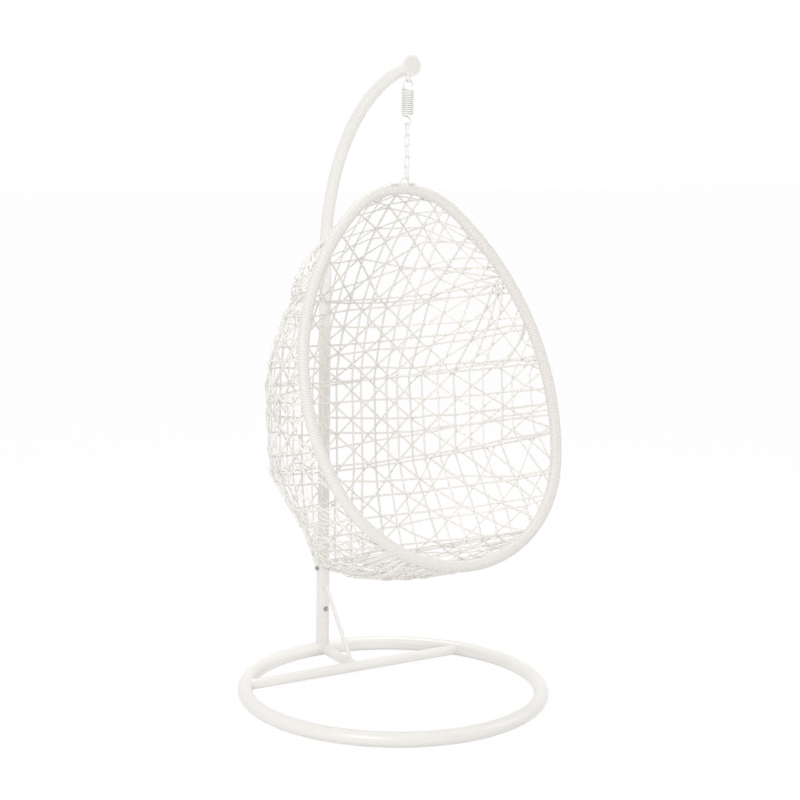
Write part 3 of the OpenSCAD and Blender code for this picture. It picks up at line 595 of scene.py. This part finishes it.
class Finish(Nodes):
    """A material with a Principled shader, and the nodes that drive it."""

    def __init__(self, name, base, roughness, **constants):
        self.material = bpy.data.materials.new(name)
        self.material.use_nodes = True
        super().__init__(self.material.node_tree)
        self.shader = self.tree.nodes["Principled BSDF"]
        self.shader.inputs["Base Color"].default_value = (*base, 1)
        self.shader.inputs["Roughness"].default_value = roughness
        for key, value in constants.items():
            self.shader.inputs[key.replace("_", " ")].default_value = value
        self.base = base

    def place(self):
        """Position in metres."""
        return self.node("ShaderNodeTexCoord", {}, out="Object")

    def strand_place(self):
        """Metres along a strand and the share of the way round it, as two values."""
        uv = self.node("ShaderNodeUVMap", {"uv_map": "strand"})
        along = self.node("ShaderNodeSeparateXYZ", {}, uv, out="X")
        return along, along.output("Y")

    def vector(self, x, y, z):
        return self.node("ShaderNodeCombineXYZ", {}, x, y, z)

    def tone_and_shade(self):
        return self.node("ShaderNodeAttribute", {"attribute_name": "tone_and_shade"}, out="Fac")

    def noise(self, vector, scale, detail):
        return self.node("ShaderNodeTexNoise", {}, Vector=vector, Scale=scale, Detail=detail)

    def colour(self, factor, dark, light):
        """The base colour, between a share darker and a share lighter."""
        low, high = [(*(min(1, c * (1 + share)) for c in self.base), 1) for share in (-dark, light)]
        # A Mix node has its two colours in inputs 6 and 7
        mixed = self.node("ShaderNodeMix", {"data_type": "RGBA"}, factor, *[None] * 5, low, high, out=2)
        self.feed("Base Color", mixed)

    def feed(self, name, value):
        self.link(value, self.shader.inputs[name])

    def bump(self, height, distance):
        self.feed("Normal", self.node("ShaderNodeBump", {}, Height=height, Distance=distance))


def powder_coat(name, base, grain=1.0, roughness=0.34):
    """Sprayed and baked powder: a fine orange peel, slightly uneven gloss."""
    f = Finish(name, base, roughness, Coat_Weight=0.25, Coat_Roughness=0.18)
    place = f.place()
    f.colour(f.noise(place, scale=7, detail=3), dark=0.035, light=0.02)
    peel = f.noise(place, scale=420 * grain, detail=1)
    coarse = f.noise(place, scale=110 * grain, detail=1)
    f.feed("Roughness", roughness - 0.05 + 0.1 * f.noise(place, scale=45, detail=2))
    f.bump(peel * 0.3 + coarse * 0.7, distance=0.00003)
    return f.material


def plastic_strand(name, base, ridges, depth, dark):
    """Extruded strand: fine ridges along it, and a colour that goes a share darker where its tone-and-shade
    value is low: on the wound rim that is painted shade in the grooves, on the woven strands a tone that
    differs at random.
    """
    f = Finish(name, base, 0.5, Coat_Weight=0.05)
    along, across = f.strand_place()
    fleck = f.noise(f.vector(along * 38, across * 9, f.tone_and_shade() * 60), scale=1, detail=3)
    f.colour(f.tone_and_shade() * 0.6 + fleck * 0.4, dark, light=0.045)
    ridge = (across * (2 * pi * ridges)).maths("SINE")
    grain = f.noise(f.vector(along * 160, across * 40, f.tone_and_shade() * 30), scale=1, detail=2)
    f.feed("Roughness", 0.42 + 0.16 * grain)
    f.bump(ridge * 0.5 + grain * 0.5, depth)
    return f.material


def zinc_plate(name, base):
    """Bright zinc plate with fine turning marks."""
    f = Finish(name, base, 0.34, Metallic=1.0)
    place = f.place()
    stretched = f.node("ShaderNodeVectorMath", {"operation": "MULTIPLY"}, place, (900, 900, 120))
    marks = f.noise(stretched, scale=1, detail=2)
    f.feed("Roughness", 0.26 + 0.2 * marks)
    f.colour(f.noise(place, scale=260, detail=2), dark=0.14, light=0.1)
    f.bump(marks, distance=0.00004)
    return f.material


def moulded_plastic(name, base):
    """Moulded plastic with a fine spark texture."""
    f = Finish(name, base, 0.44)
    place = f.place()
    f.colour(f.noise(place, scale=60, detail=2), dark=0.04, light=0.03)
    f.bump(f.noise(place, scale=1500, detail=2), distance=0.00006)
    return f.material


def wear(material, *nodes):
    """Gives carried-over CAD nodes their finish."""
    for node in nodes:
        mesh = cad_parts[node].data
        mesh.materials.clear()
        mesh.materials.append(material)


# ---- operators ----

class EGGCHAIR_OT_stand(bpy.types.Operator):
    """Finish the ring stand and run the weld beads where its tubes meet"""

    bl_idname = "eggchair.stand"
    bl_label = "Stand"

    def execute(self, context):
        s, h, colours = context.scene.egg_stand, context.scene.egg_hanger, context.scene.egg_finish
        powder = powder_coat("powder_coat_stand", colours.powder)
        wear(powder, *STAND_NODES)
        wear(zinc_plate("zinc_bolts", colours.zinc), *BOLT_NODES)
        wear(moulded_plastic("plug_plastic", colours.plug), "pole_end_plug")

        ring_z = RING_TOP - s.ring_tube
        bend_y, bend_z = s.ring_radius - s.bend_radius, s.bend_start

        def ring(p):
            return hypot(hypot(p[0], p[1]) - s.ring_radius, p[2] - ring_z) - s.ring_tube

        def foot(p):
            return hypot(p[0], p[2] - ring_z) - s.bar_radius

        def post(p):
            return hypot(p[0], p[1] - s.ring_radius) - s.post_radius

        def pole(p):
            off = hypot(p[1] - bend_y, p[2] - bend_z) - s.bend_radius
            return hypot(off, p[0]) - s.pole_radius

        welds = Builder()
        in_ring, on_foot_bar, over_ring = 0.25, 0.33, 0.14  # where the search starts on the bars and the post
        for side in (-1, 1):
            bead(welds, s, (side * in_ring, s.cross_bar, ring_z), (side, 0, 0), s.bar_radius, ring)
        bead(welds, s, (0, on_foot_bar, ring_z), (0, 1, 0), s.bar_radius, ring)
        bead(welds, s, (0, s.ring_radius, over_ring), (0, 0, -1), s.post_radius,
             lambda p: min(ring(p), foot(p)))
        top = np.array((0, s.ring_radius - s.post_radius, s.brace_top))
        low = np.array((0, s.ring_radius - s.brace_reach, ring_z + s.bar_radius))
        middle = (top + low) / 2
        bead(welds, s, middle, top - low, s.brace_radius, post)
        bead(welds, s, middle, low - top, s.brace_radius, foot)
        for side in (-1, 1):
            bead(welds, s, (0, h.hang_y + side * s.eye_bend, h.eye_z + s.eye_bend), (0, 0, 1),
                 s.eye_radius, pole, steps=36)
        way = np.array((0, -sin(s.bend_sweep), cos(s.bend_sweep)))
        up = np.cross((1, 0, 0), way)
        tip = np.array((0, bend_y, bend_z)) - s.bend_radius * up
        sunk = 0.3 * s.bead  # how far the bead behind the flange stands back from it
        loop = tip - sunk * way + circle(s.pole_radius, 144) @ np.array(((1, 0, 0), up))
        lay_bead(welds, s, loop, way, ripples=34)
        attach(welds.make("weld_beads", powder, "stand_tube"), "stand")
        return {"FINISHED"}


class EGGCHAIR_OT_hanger(bpy.types.Operator):
    """Wind the spring, bend the bracket and finish the chain"""

    bl_idname = "eggchair.hanger"
    bl_label = "Spring, chain and bracket"

    def execute(self, context):
        h, colours = context.scene.egg_hanger, context.scene.egg_finish
        coat = powder_coat("powder_coat_hardware", colours.hardware, grain=1.4, roughness=0.38)
        wear(coat, *LINK_NODES)
        self.spring(h, context.scene.egg_stand.eye_radius, coat)
        self.bracket(context.scene, coat)
        return {"FINISHED"}

    def spring(self, h, eye_radius, coat):
        """The spring in one wire: hook, coil and the loop that hangs on the pole's eye."""
        y = h.hang_y
        loop_z = h.eye_z + eye_radius + SEAT_GAP + h.wire - h.loop_radius
        coil_top = loop_z - h.loop_rise
        coil_low = coil_top - h.coil_turns * h.coil_pitch
        hook_z = coil_low - h.hook_drop
        lead = radians(25)  # the turn that the coil lacks to reach the plane of its hook
        hook_tip, hook_end, loop_end, loop_tip = -150, 60, 180, -16  # degrees round the hook and the loop
        per_turn = 28  # points on one coil
        swing = (0.009, 0.011, 0.005, 0.009)  # handles of the curves that join hook, coil and loop

        def curl(g, z):
            return np.array((h.coil_radius * cos(g), y + h.coil_radius * sin(g), z))

        def ring(radius, z, degrees):
            g = radians(degrees)
            return np.array((radius * cos(g), y, z + radius * sin(g)))

        way = np.array((sin(lead), cos(lead), 0))
        start, end = curl(pi - lead, coil_low), curl(pi - lead, coil_top)
        hook = ring(h.hook_radius, hook_z, hook_end)
        hook_way = np.array((-sin(radians(hook_end)), 0, cos(radians(hook_end))))
        loop = ring(h.loop_radius, loop_z, loop_end)
        path = [ring(h.hook_radius, hook_z, g) for g in range(hook_tip, hook_end, 6)]
        path += [bezier(hook, hook + swing[0] * hook_way, start + swing[1] * way, start, k / 16)
                 for k in range(16)]
        path += [curl(pi - lead + 2 * pi * k / per_turn, coil_low + h.coil_pitch * k / per_turn)
                 for k in range(per_turn * h.coil_turns + 1)]
        path += [bezier(end, end - swing[2] * way, loop - np.array((0, 0, swing[3])), loop, k / 12)
                 for k in range(1, 12)]
        path += [ring(h.loop_radius, loop_z, g) for g in range(loop_end, loop_tip, -6)]
        path = np.array(path)
        wire = Builder()
        wire.sweep(path, carried(path, (0, 1, 0)), circle(h.wire, 14))
        spring = wire.make("spring_wire", coat, "spring_and_chain")
        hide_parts("spring")
        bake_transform(spring)

    def bracket(self, scene, coat):
        """The rod that stands on the rim's top, from its middle: bend, leg, bend and foot on each side."""
        h, rim = scene.egg_hanger, Rim(scene)
        top = Arc((0, 0, rim.bracket_height), (1, 0, 0), (0, 0, -1), h.bracket_bend, h.bracket_sweep)
        knee = Arc(top.point(1) + h.bracket_leg * top.way(1), top.way(1), -top.centre_way(1),
                   h.bracket_foot_bend, h.bracket_sweep - rim.toe)
        foot = Arc(knee.point(1), knee.way(1), -knee.centre_way(1), rim.seat_radius,
                   h.bracket_foot / rim.seat_radius)
        half = [top.point(k / 12) for k in range(13)]
        half += [mix(top.point(1), knee.point(0), k / 4) for k in range(1, 4)]
        half += [knee.point(k / 12) for k in range(12)] + [foot.point(k / 6) for k in range(7)]
        flat = [mirrored(p) for p in half[:0:-1]] + half
        lean = h.bracket_lean
        path = np.array([(p[0], rim.y - p[2] * sin(lean), rim.z + p[2] * cos(lean)) for p in flat])
        rod = Builder()
        rod.sweep(path, carried(path, (0, 0, 1)), circle(h.bracket_wire, 20))
        piece = rod.make("bracket_rod", coat, "stand_tube")
        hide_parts("basket_bracket")
        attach(piece, "basket")


class EGGCHAIR_OT_rim(bpy.types.Operator):
    """Wind the strand round the rim's tube"""

    bl_idname = "eggchair.rim"
    bl_label = "Wound rim"

    def execute(self, context):
        scene = context.scene
        s = scene.egg_rim
        points = Rim(scene).outline(s.pitch / 6)
        length = np.linalg.norm(np.diff(np.vstack((points, points[:1])), axis=0), axis=1)
        along = np.concatenate(([0], np.cumsum(length)[:-1]))
        phase = along * round(length.sum() / s.pitch) / length.sum()
        sides = 28
        turn = (phase[:, None] - np.arange(sides) / sides) % 1  # 0 in a groove, 0.5 on a strand's top
        rise = np.sqrt(np.clip(1 - (2 * turn - 1) ** 2, 0, 1))
        # The value is low in the grooves and high on the strands' tops: painted shade that makes the grooves
        # between the turns of strand darker
        strand = Builder()
        strand.sweep(points, carried(points, (0, 0, 1), True), circle(1, sides), True,
                     tone_and_shade=0.9 * rise - 0.15, radii=s.sleeve - s.groove * (1 - rise))
        # dark sets how much darker the painted shade makes the grooves between the turns of strand
        finish = plastic_strand("wound_strand", scene.egg_finish.winding, ridges=14, depth=0.00008, dark=0.22)
        rim = strand.make("wound_rim", finish, "wound_strand")
        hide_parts(*RIM_NODES)
        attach(rim, "basket")
        return {"FINISHED"}


class EGGCHAIR_OT_rods(bpy.types.Operator):
    """Bend the basket's hoops and ribs"""

    bl_idname = "eggchair.rods"
    bl_label = "Hoops and ribs"

    def execute(self, context):
        scene = context.scene
        shell = Shell(scene)
        rod = scene.egg_shell.rod
        coat = powder_coat("powder_coat_rods", scene.egg_finish.rods, roughness=0.4)
        inside = -(2 * rod + SEAT_GAP)
        # The column at which each hoop bends last before it runs to the rim
        hoops = {"hoop_upper": 3, "hoop_middle": 5, "hoop_lower": 5, "hoop_bottom": 3.6}
        ribs = {
            "ribs_inner": ((1, 0), (1, SEAT_ROW)),
            "ribs_rear_side": ((2, 0), (2, SEAT_ROW)),
            "ribs_side": ((SIDE_RIB, 0), (SIDE_RIB, SEAT_ROW)),
            "ribs_front": ((5, 1.37), (4.5, 1.69), (FRONT_RIB, 2), (FRONT_RIB, 3.9)),
        }
        # For each node its paths, how far they stand out from the shell, and where their first section points
        pieces = {node: ([self.hoop(row, last)], inside, (0, 0, 1))
                  for row, (node, last) in enumerate(hoops.items(), UPPER_HOOP)}
        pieces["rib_center"] = ([fine([(0, 0), (0, SEAT_ROW)])], 0, (1, 0, 0))
        for node, places in ribs.items():
            both = [fine([(side * c, r) for c, r in places]) for side in (-1, 1)]
            pieces[node] = (both, 0, (0, 1, 0.3))
        for node, (paths, offset, start) in pieces.items():
            builder = Builder()
            for places in paths:
                points = shell.path(places, offset)
                builder.sweep(points, carried(points, start), circle(rod, 12))
            piece = builder.make(node + "_rod", coat, "basket_frame")
            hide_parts(node)
            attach(piece, "basket")
        return {"FINISHED"}

    def hoop(self, row, last):
        """A hoop that runs straight from its last bend to the rim."""
        bends = fine([(-last, row), (last, row)])
        return bends if last == RIM_COLUMN else [(-RIM_COLUMN, row)] + bends + [(RIM_COLUMN, row)]


def bend_columns(last):
    """Columns at which a strand bends on its way round: the ribs, and between the outer ones."""
    return [c / 2 for c in range(-2 * last, 2 * last + 1) if c % 2 == 0 or abs(c) > 4]


BEND_ROWS = [r / 4 for r in range(4 * SEAT_ROW + 1) if not 8 < r < 12]  # and on its way down
NEAR = 0.02  # columns by which a strand's end may miss the shell's edge
CROWDING = 1.12  # above 1, the level strands lie closer together towards the top
TOP_TILT, TILT = 1.1, 0.5  # most rows that a level strand rises, above the upper hoop and below it
KINK = 0.08  # most rows that it strays at a rib
TOP_CURVE = 1.1  # columns by which a slanted strand swings out between the upper hoop and the rim's top


class EGGCHAIR_OT_weave(bpy.types.Operator):
    """Weave the plastic strand over the basket's rods"""

    bl_idname = "eggchair.weave"
    bl_label = "Woven shell"

    def execute(self, context):
        scene = context.scene
        self.s, self.shell = scene.egg_weave, Shell(scene)
        self.random = random.Random(self.s.seed)
        self.builder = Builder()
        self.section = circle(0.5, 8) * (self.s.width, self.s.thickness)
        rod, step = scene.egg_shell.rod, self.s.thickness
        self.hoop_depth = -(2 * rod + SEAT_GAP)
        on_ribs = rod + step / 2
        self.around(on_ribs)
        self.down(on_ribs - 2 * rod)
        self.slanted(on_ribs + step, 1)
        self.slanted(on_ribs + 2 * step, -1)
        finish = plastic_strand("woven_strand", scene.egg_finish.strand, ridges=5, depth=0.00015, dark=0.085)
        weave = self.builder.make("woven_shell", finish, "woven_strand")
        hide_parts(*WEAVE_NODES)
        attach(weave, "basket")
        return {"FINISHED"}

    def stray(self):
        return self.random.uniform(-1, 1) * self.s.unevenness

    def strand(self, places, offset):
        """One taut strand: straight between the rods it crosses. A place may bring its own point."""
        points, normals = [], []
        lift = offset + self.random.uniform(-0.2, 0.2) * self.s.thickness
        for c, r, *own in places:
            n = self.shell.normal(c, r)
            points.append(own[0] if own else self.shell.point(c, r) + lift * n)
            normals.append(n)
        self.builder.sweep(points, normals, self.section, tone_and_shade=self.random.random())

    def on_rim(self, side, r):
        """Where a strand meets the rim past the side rib, above the upper hoop or below the bottom one."""
        if r < UPPER_HOOP:
            s = mix(lookup(TOP_STATIONS, SIDE_RIB), lookup(SIDE_STATIONS, UPPER_HOOP), r)
        else:
            s = mix(lookup(SIDE_STATIONS, BOTTOM_HOOP), lookup(SEAT_STATIONS, SIDE_RIB),
                    (r - BOTTOM_HOOP) / (SEAT_ROW - BOTTOM_HOOP))
        p = self.shell.rim.point(s)
        return SIDE_RIB * side, r, mirrored(p) if side < 0 else p

    def around(self, offset):
        """Nearly level strands from rim to rim, a little closer together towards the top."""
        n = self.s.around
        for k in range(1, n):
            r = SEAT_ROW * ((k / n) ** CROWDING + self.stray() / n / 2)
            tilt = (TOP_TILT if r < UPPER_HOOP else TILT) * self.stray()
            narrow = r < UPPER_HOOP or r > BOTTOM_HOOP
            last = SIDE_RIB if narrow else RIM_COLUMN
            places = [(c, self.level(r, c, tilt, last)) for c in bend_columns(last)]
            if narrow:
                places = [self.on_rim(-1, places[0][1])] + places + [self.on_rim(1, places[-1][1])]
            self.strand(places, offset)

    def level(self, r, c, tilt, last):
        """The row of a nearly level strand at a column: uneven at each rib and never past the rim."""
        kink = KINK * self.stray() if c == int(c) else 0
        low, high = (0.05, 0.98) if r < UPPER_HOOP else (1.03, 3.96) if last == RIM_COLUMN else (4.02, 5.95)
        return min(max(r + tilt * c / last + kink, low), high)

    def down(self, offset):
        """Strands down each gap between ribs. Those beyond the front rib turn out to the rim at both ends."""
        n = self.s.down
        for side in (-1, 1):
            for gap in range(RIM_COLUMN):
                for k in range(1, n + 1):
                    c = gap + (k + 0.7 * self.stray()) / (n + 1)
                    drift = 0.3 * self.stray()
                    if gap == FRONT_RIB:
                        lift = 0.45 * (RIM_COLUMN - c)
                        places = [(RIM_COLUMN, 1.95 - lift), (c, 2.15), (c, 2.85), (RIM_COLUMN, 3.1 + lift)]
                    else:
                        top = 0 if gap < SIDE_RIB else UPPER_HOOP
                        places = [(c + drift * (r / SEAT_ROW - 0.5), r) for r in BEND_ROWS if r >= top]
                    self.strand([(side * a, r) for a, r in places], offset)

    def slanted(self, offset, side):
        """Strands that slant across the whole shell, towards one side."""
        slope, n = self.s.slope, self.s.slanted
        run = slope * SEAT_ROW
        for k in range(n):
            start = -RIM_COLUMN - run + (k + 0.5 + 0.5 * self.stray()) * (2 * RIM_COLUMN + run) / n
            lean = slope * (1 + 0.12 * self.stray())
            self.cut(start, lean, side, offset)

    def column(self, start, lean, r):
        """The column of a slanted strand at a row: near the top it lies flatter."""
        return start + lean * r - TOP_CURVE * max(0, 1 - r) ** 2

    def cut(self, start, lean, side, offset):
        """Cuts a slanted strand into the stretches where the shell is wide enough for it."""
        table = np.linspace(0, SEAT_ROW, 241)
        columns = [self.column(start, lean, r) for r in table]
        crossed = [c for c in bend_columns(RIM_COLUMN) if columns[0] < c < columns[-1]]
        run = []
        for r in sorted({*BEND_ROWS, *(float(np.interp(c, columns, table)) for c in crossed)}):
            c = self.column(start, lean, r)
            wide = UPPER_HOOP <= r <= BOTTOM_HOOP
            inside = abs(c) <= (RIM_COLUMN if wide else SIDE_RIB) + NEAR
            if inside:
                run.append((side * max(-RIM_COLUMN, min(RIM_COLUMN, c)), r))
            if run and (not inside or r >= SEAT_ROW):
                self.finish(run, offset)
                run = []

    def finish(self, run, offset):
        """Takes a stretch's loose ends to the rim or onto the hoop that they stop at, and lays it."""
        if len(run) < 2:
            return
        for end in (0, -1):
            c, r = run[end]
            if abs(abs(c) - SIDE_RIB) < NEAR and not UPPER_HOOP <= r <= BOTTOM_HOOP:
                rim = self.on_rim(1 if c > 0 else -1, r)
                run = [rim] + run if end == 0 else run + [rim]
            elif SIDE_RIB + NEAR <= abs(c) < RIM_COLUMN - NEAR and r in (UPPER_HOOP, BOTTOM_HOOP):
                run[end] = (c, r, self.shell.point(c, r) + self.hoop_depth * self.shell.normal(c, r))
        self.strand(run, offset)


CHAIR_MIDDLE = Vector((0, -0.05, 0.95))  # where the lamps point
FLOOR_HALF = 30  # half of the floor's width
FLOOR_GLOW = 0.965  # share of plain white in the floor that the camera sees
CAMERA_PLACE = (-2.6868, -4.4411, 1.7849)
CAMERA_ANGLES = (-31.2616, 9.5031, 0.855)  # heading from +Y, downward tilt and roll, in degrees
CAMERA_SHIFT = 0.0034  # share of the frame's width by which the view is raised


class EGGCHAIR_OT_stage(bpy.types.Operator):
    """Set out the floor, the lamps, the world and the camera"""

    bl_idname = "eggchair.stage"
    bl_label = "Stage"

    def execute(self, context):
        scene, s = context.scene, context.scene.egg_stage
        self.floor(s)
        self.world(scene, s)
        self.lamp("key_lamp", (-3.5, -2.9, 3.2), 2.6, s.key)
        self.lamp("fill_lamp", (3.4, -1.8, 2.2), 2.6, s.fill)
        self.lamp("top_lamp", (0.5, 1.4, 4.3), 2.4, s.top)
        self.camera(scene, s)
        scene.view_settings.view_transform = "Standard"
        return {"FINISHED"}

    def floor(self, s):
        """A floor that looks almost white from the camera and keeps the chair's shadow."""
        mesh = bpy.data.meshes.new("floor")
        corners = [(x * FLOOR_HALF, y * FLOOR_HALF, 0) for x, y in ((-1, -1), (1, -1), (1, 1), (-1, 1))]
        mesh.from_pydata(corners, [], [(0, 1, 2, 3)])
        floor = placed("floor", mesh)
        finish = Finish("floor_paint", s.floor, 0.9)
        paint = Value(finish, finish.shader.outputs[0])
        glow = finish.node("ShaderNodeEmission", {}, Color=(1, 1, 1, 1), Strength=1.0)
        surface = finish.node("ShaderNodeMixShader", {}, finish.seen() * FLOOR_GLOW, paint, glow)
        finish.link(surface, finish.tree.nodes["Material Output"].inputs["Surface"])
        mesh.materials.append(finish.material)

    def world(self, scene, s):
        """Even light all round, and white behind the chair."""
        world = bpy.data.worlds.new("studio")
        world.use_nodes = True
        scene.world = world
        nodes = Nodes(world.node_tree)
        background = nodes.tree.nodes["Background"]
        background.inputs["Color"].default_value = (1, 1, 1, 1)
        nodes.link(s.world + (1 - s.world) * nodes.seen(), background.inputs["Strength"])

    def lamp(self, name, place, width, power):
        """A round soft lamp that points at the chair's middle."""
        light = bpy.data.lights.new(name, "AREA")
        light.shape, light.size, light.energy = "DISK", width, power
        lamp = placed(name, light)
        lamp.location = place
        lamp.rotation_euler = (CHAIR_MIDDLE - Vector(place)).to_track_quat("-Z", "Y").to_euler()

    def camera(self, scene, s):
        """The camera that was fitted to the photograph."""
        data = bpy.data.cameras.new("camera")
        data.sensor_width, data.lens, data.shift_y = 36, s.lens, CAMERA_SHIFT
        data.clip_start, data.clip_end = 0.1, 100
        heading, down, roll = (radians(a) for a in CAMERA_ANGLES)
        right = Vector((cos(heading), sin(heading), 0))
        forward = Vector((-right.y * cos(down), right.x * cos(down), -sin(down)))
        up = right.cross(forward)
        side = right * cos(roll) + up * sin(roll)
        top = up * cos(roll) - right * sin(roll)
        camera = placed("camera", data)
        turn = Matrix((side, top, -forward)).transposed().to_4x4()
        camera.matrix_world = Matrix.Translation(CAMERA_PLACE) @ turn
        scene.camera = camera


OPERATORS = (
    EGGCHAIR_OT_stand, EGGCHAIR_OT_hanger, EGGCHAIR_OT_rim, EGGCHAIR_OT_rods, EGGCHAIR_OT_weave,
    EGGCHAIR_OT_stage,
)
GROUPS = {
    "egg_stand": EGGCHAIR_PG_stand, "egg_hanger": EGGCHAIR_PG_hanger, "egg_rim": EGGCHAIR_PG_rim,
    "egg_shell": EGGCHAIR_PG_shell, "egg_weave": EGGCHAIR_PG_weave, "egg_finish": EGGCHAIR_PG_finish,
    "egg_stage": EGGCHAIR_PG_stage,
}


class EGGCHAIR_PT_panel(bpy.types.Panel):
    """Lists the chair's pieces and their settings"""

    bl_label = "Hanging Egg Chair"
    bl_idname = "EGGCHAIR_PT_panel"
    bl_space_type = "VIEW_3D"
    bl_region_type = "UI"
    bl_category = "Egg Chair"

    def draw(self, context):
        for operator in OPERATORS:
            self.layout.operator(operator.bl_idname)
        for key, group in GROUPS.items():
            box = self.layout.box()
            settings = getattr(context.scene, key)
            for name in group.__annotations__:
                box.prop(settings, name)


CLASSES = (*GROUPS.values(), *OPERATORS, EGGCHAIR_PT_panel)


def register():
    for cls in CLASSES:
        bpy.utils.register_class(cls)
    for key, group in GROUPS.items():
        setattr(bpy.types.Scene, key, PointerProperty(type=group))


def unregister():
    for key in GROUPS:
        delattr(bpy.types.Scene, key)
    for cls in reversed(CLASSES):
        bpy.utils.unregister_class(cls)


def main():
    register()
    bpy.ops.eggchair.stage()
    bpy.ops.eggchair.stand()
    bpy.ops.eggchair.hanger()
    bpy.ops.eggchair.rim()
    bpy.ops.eggchair.rods()
    bpy.ops.eggchair.weave()


if __name__ == "__main__":
    main()
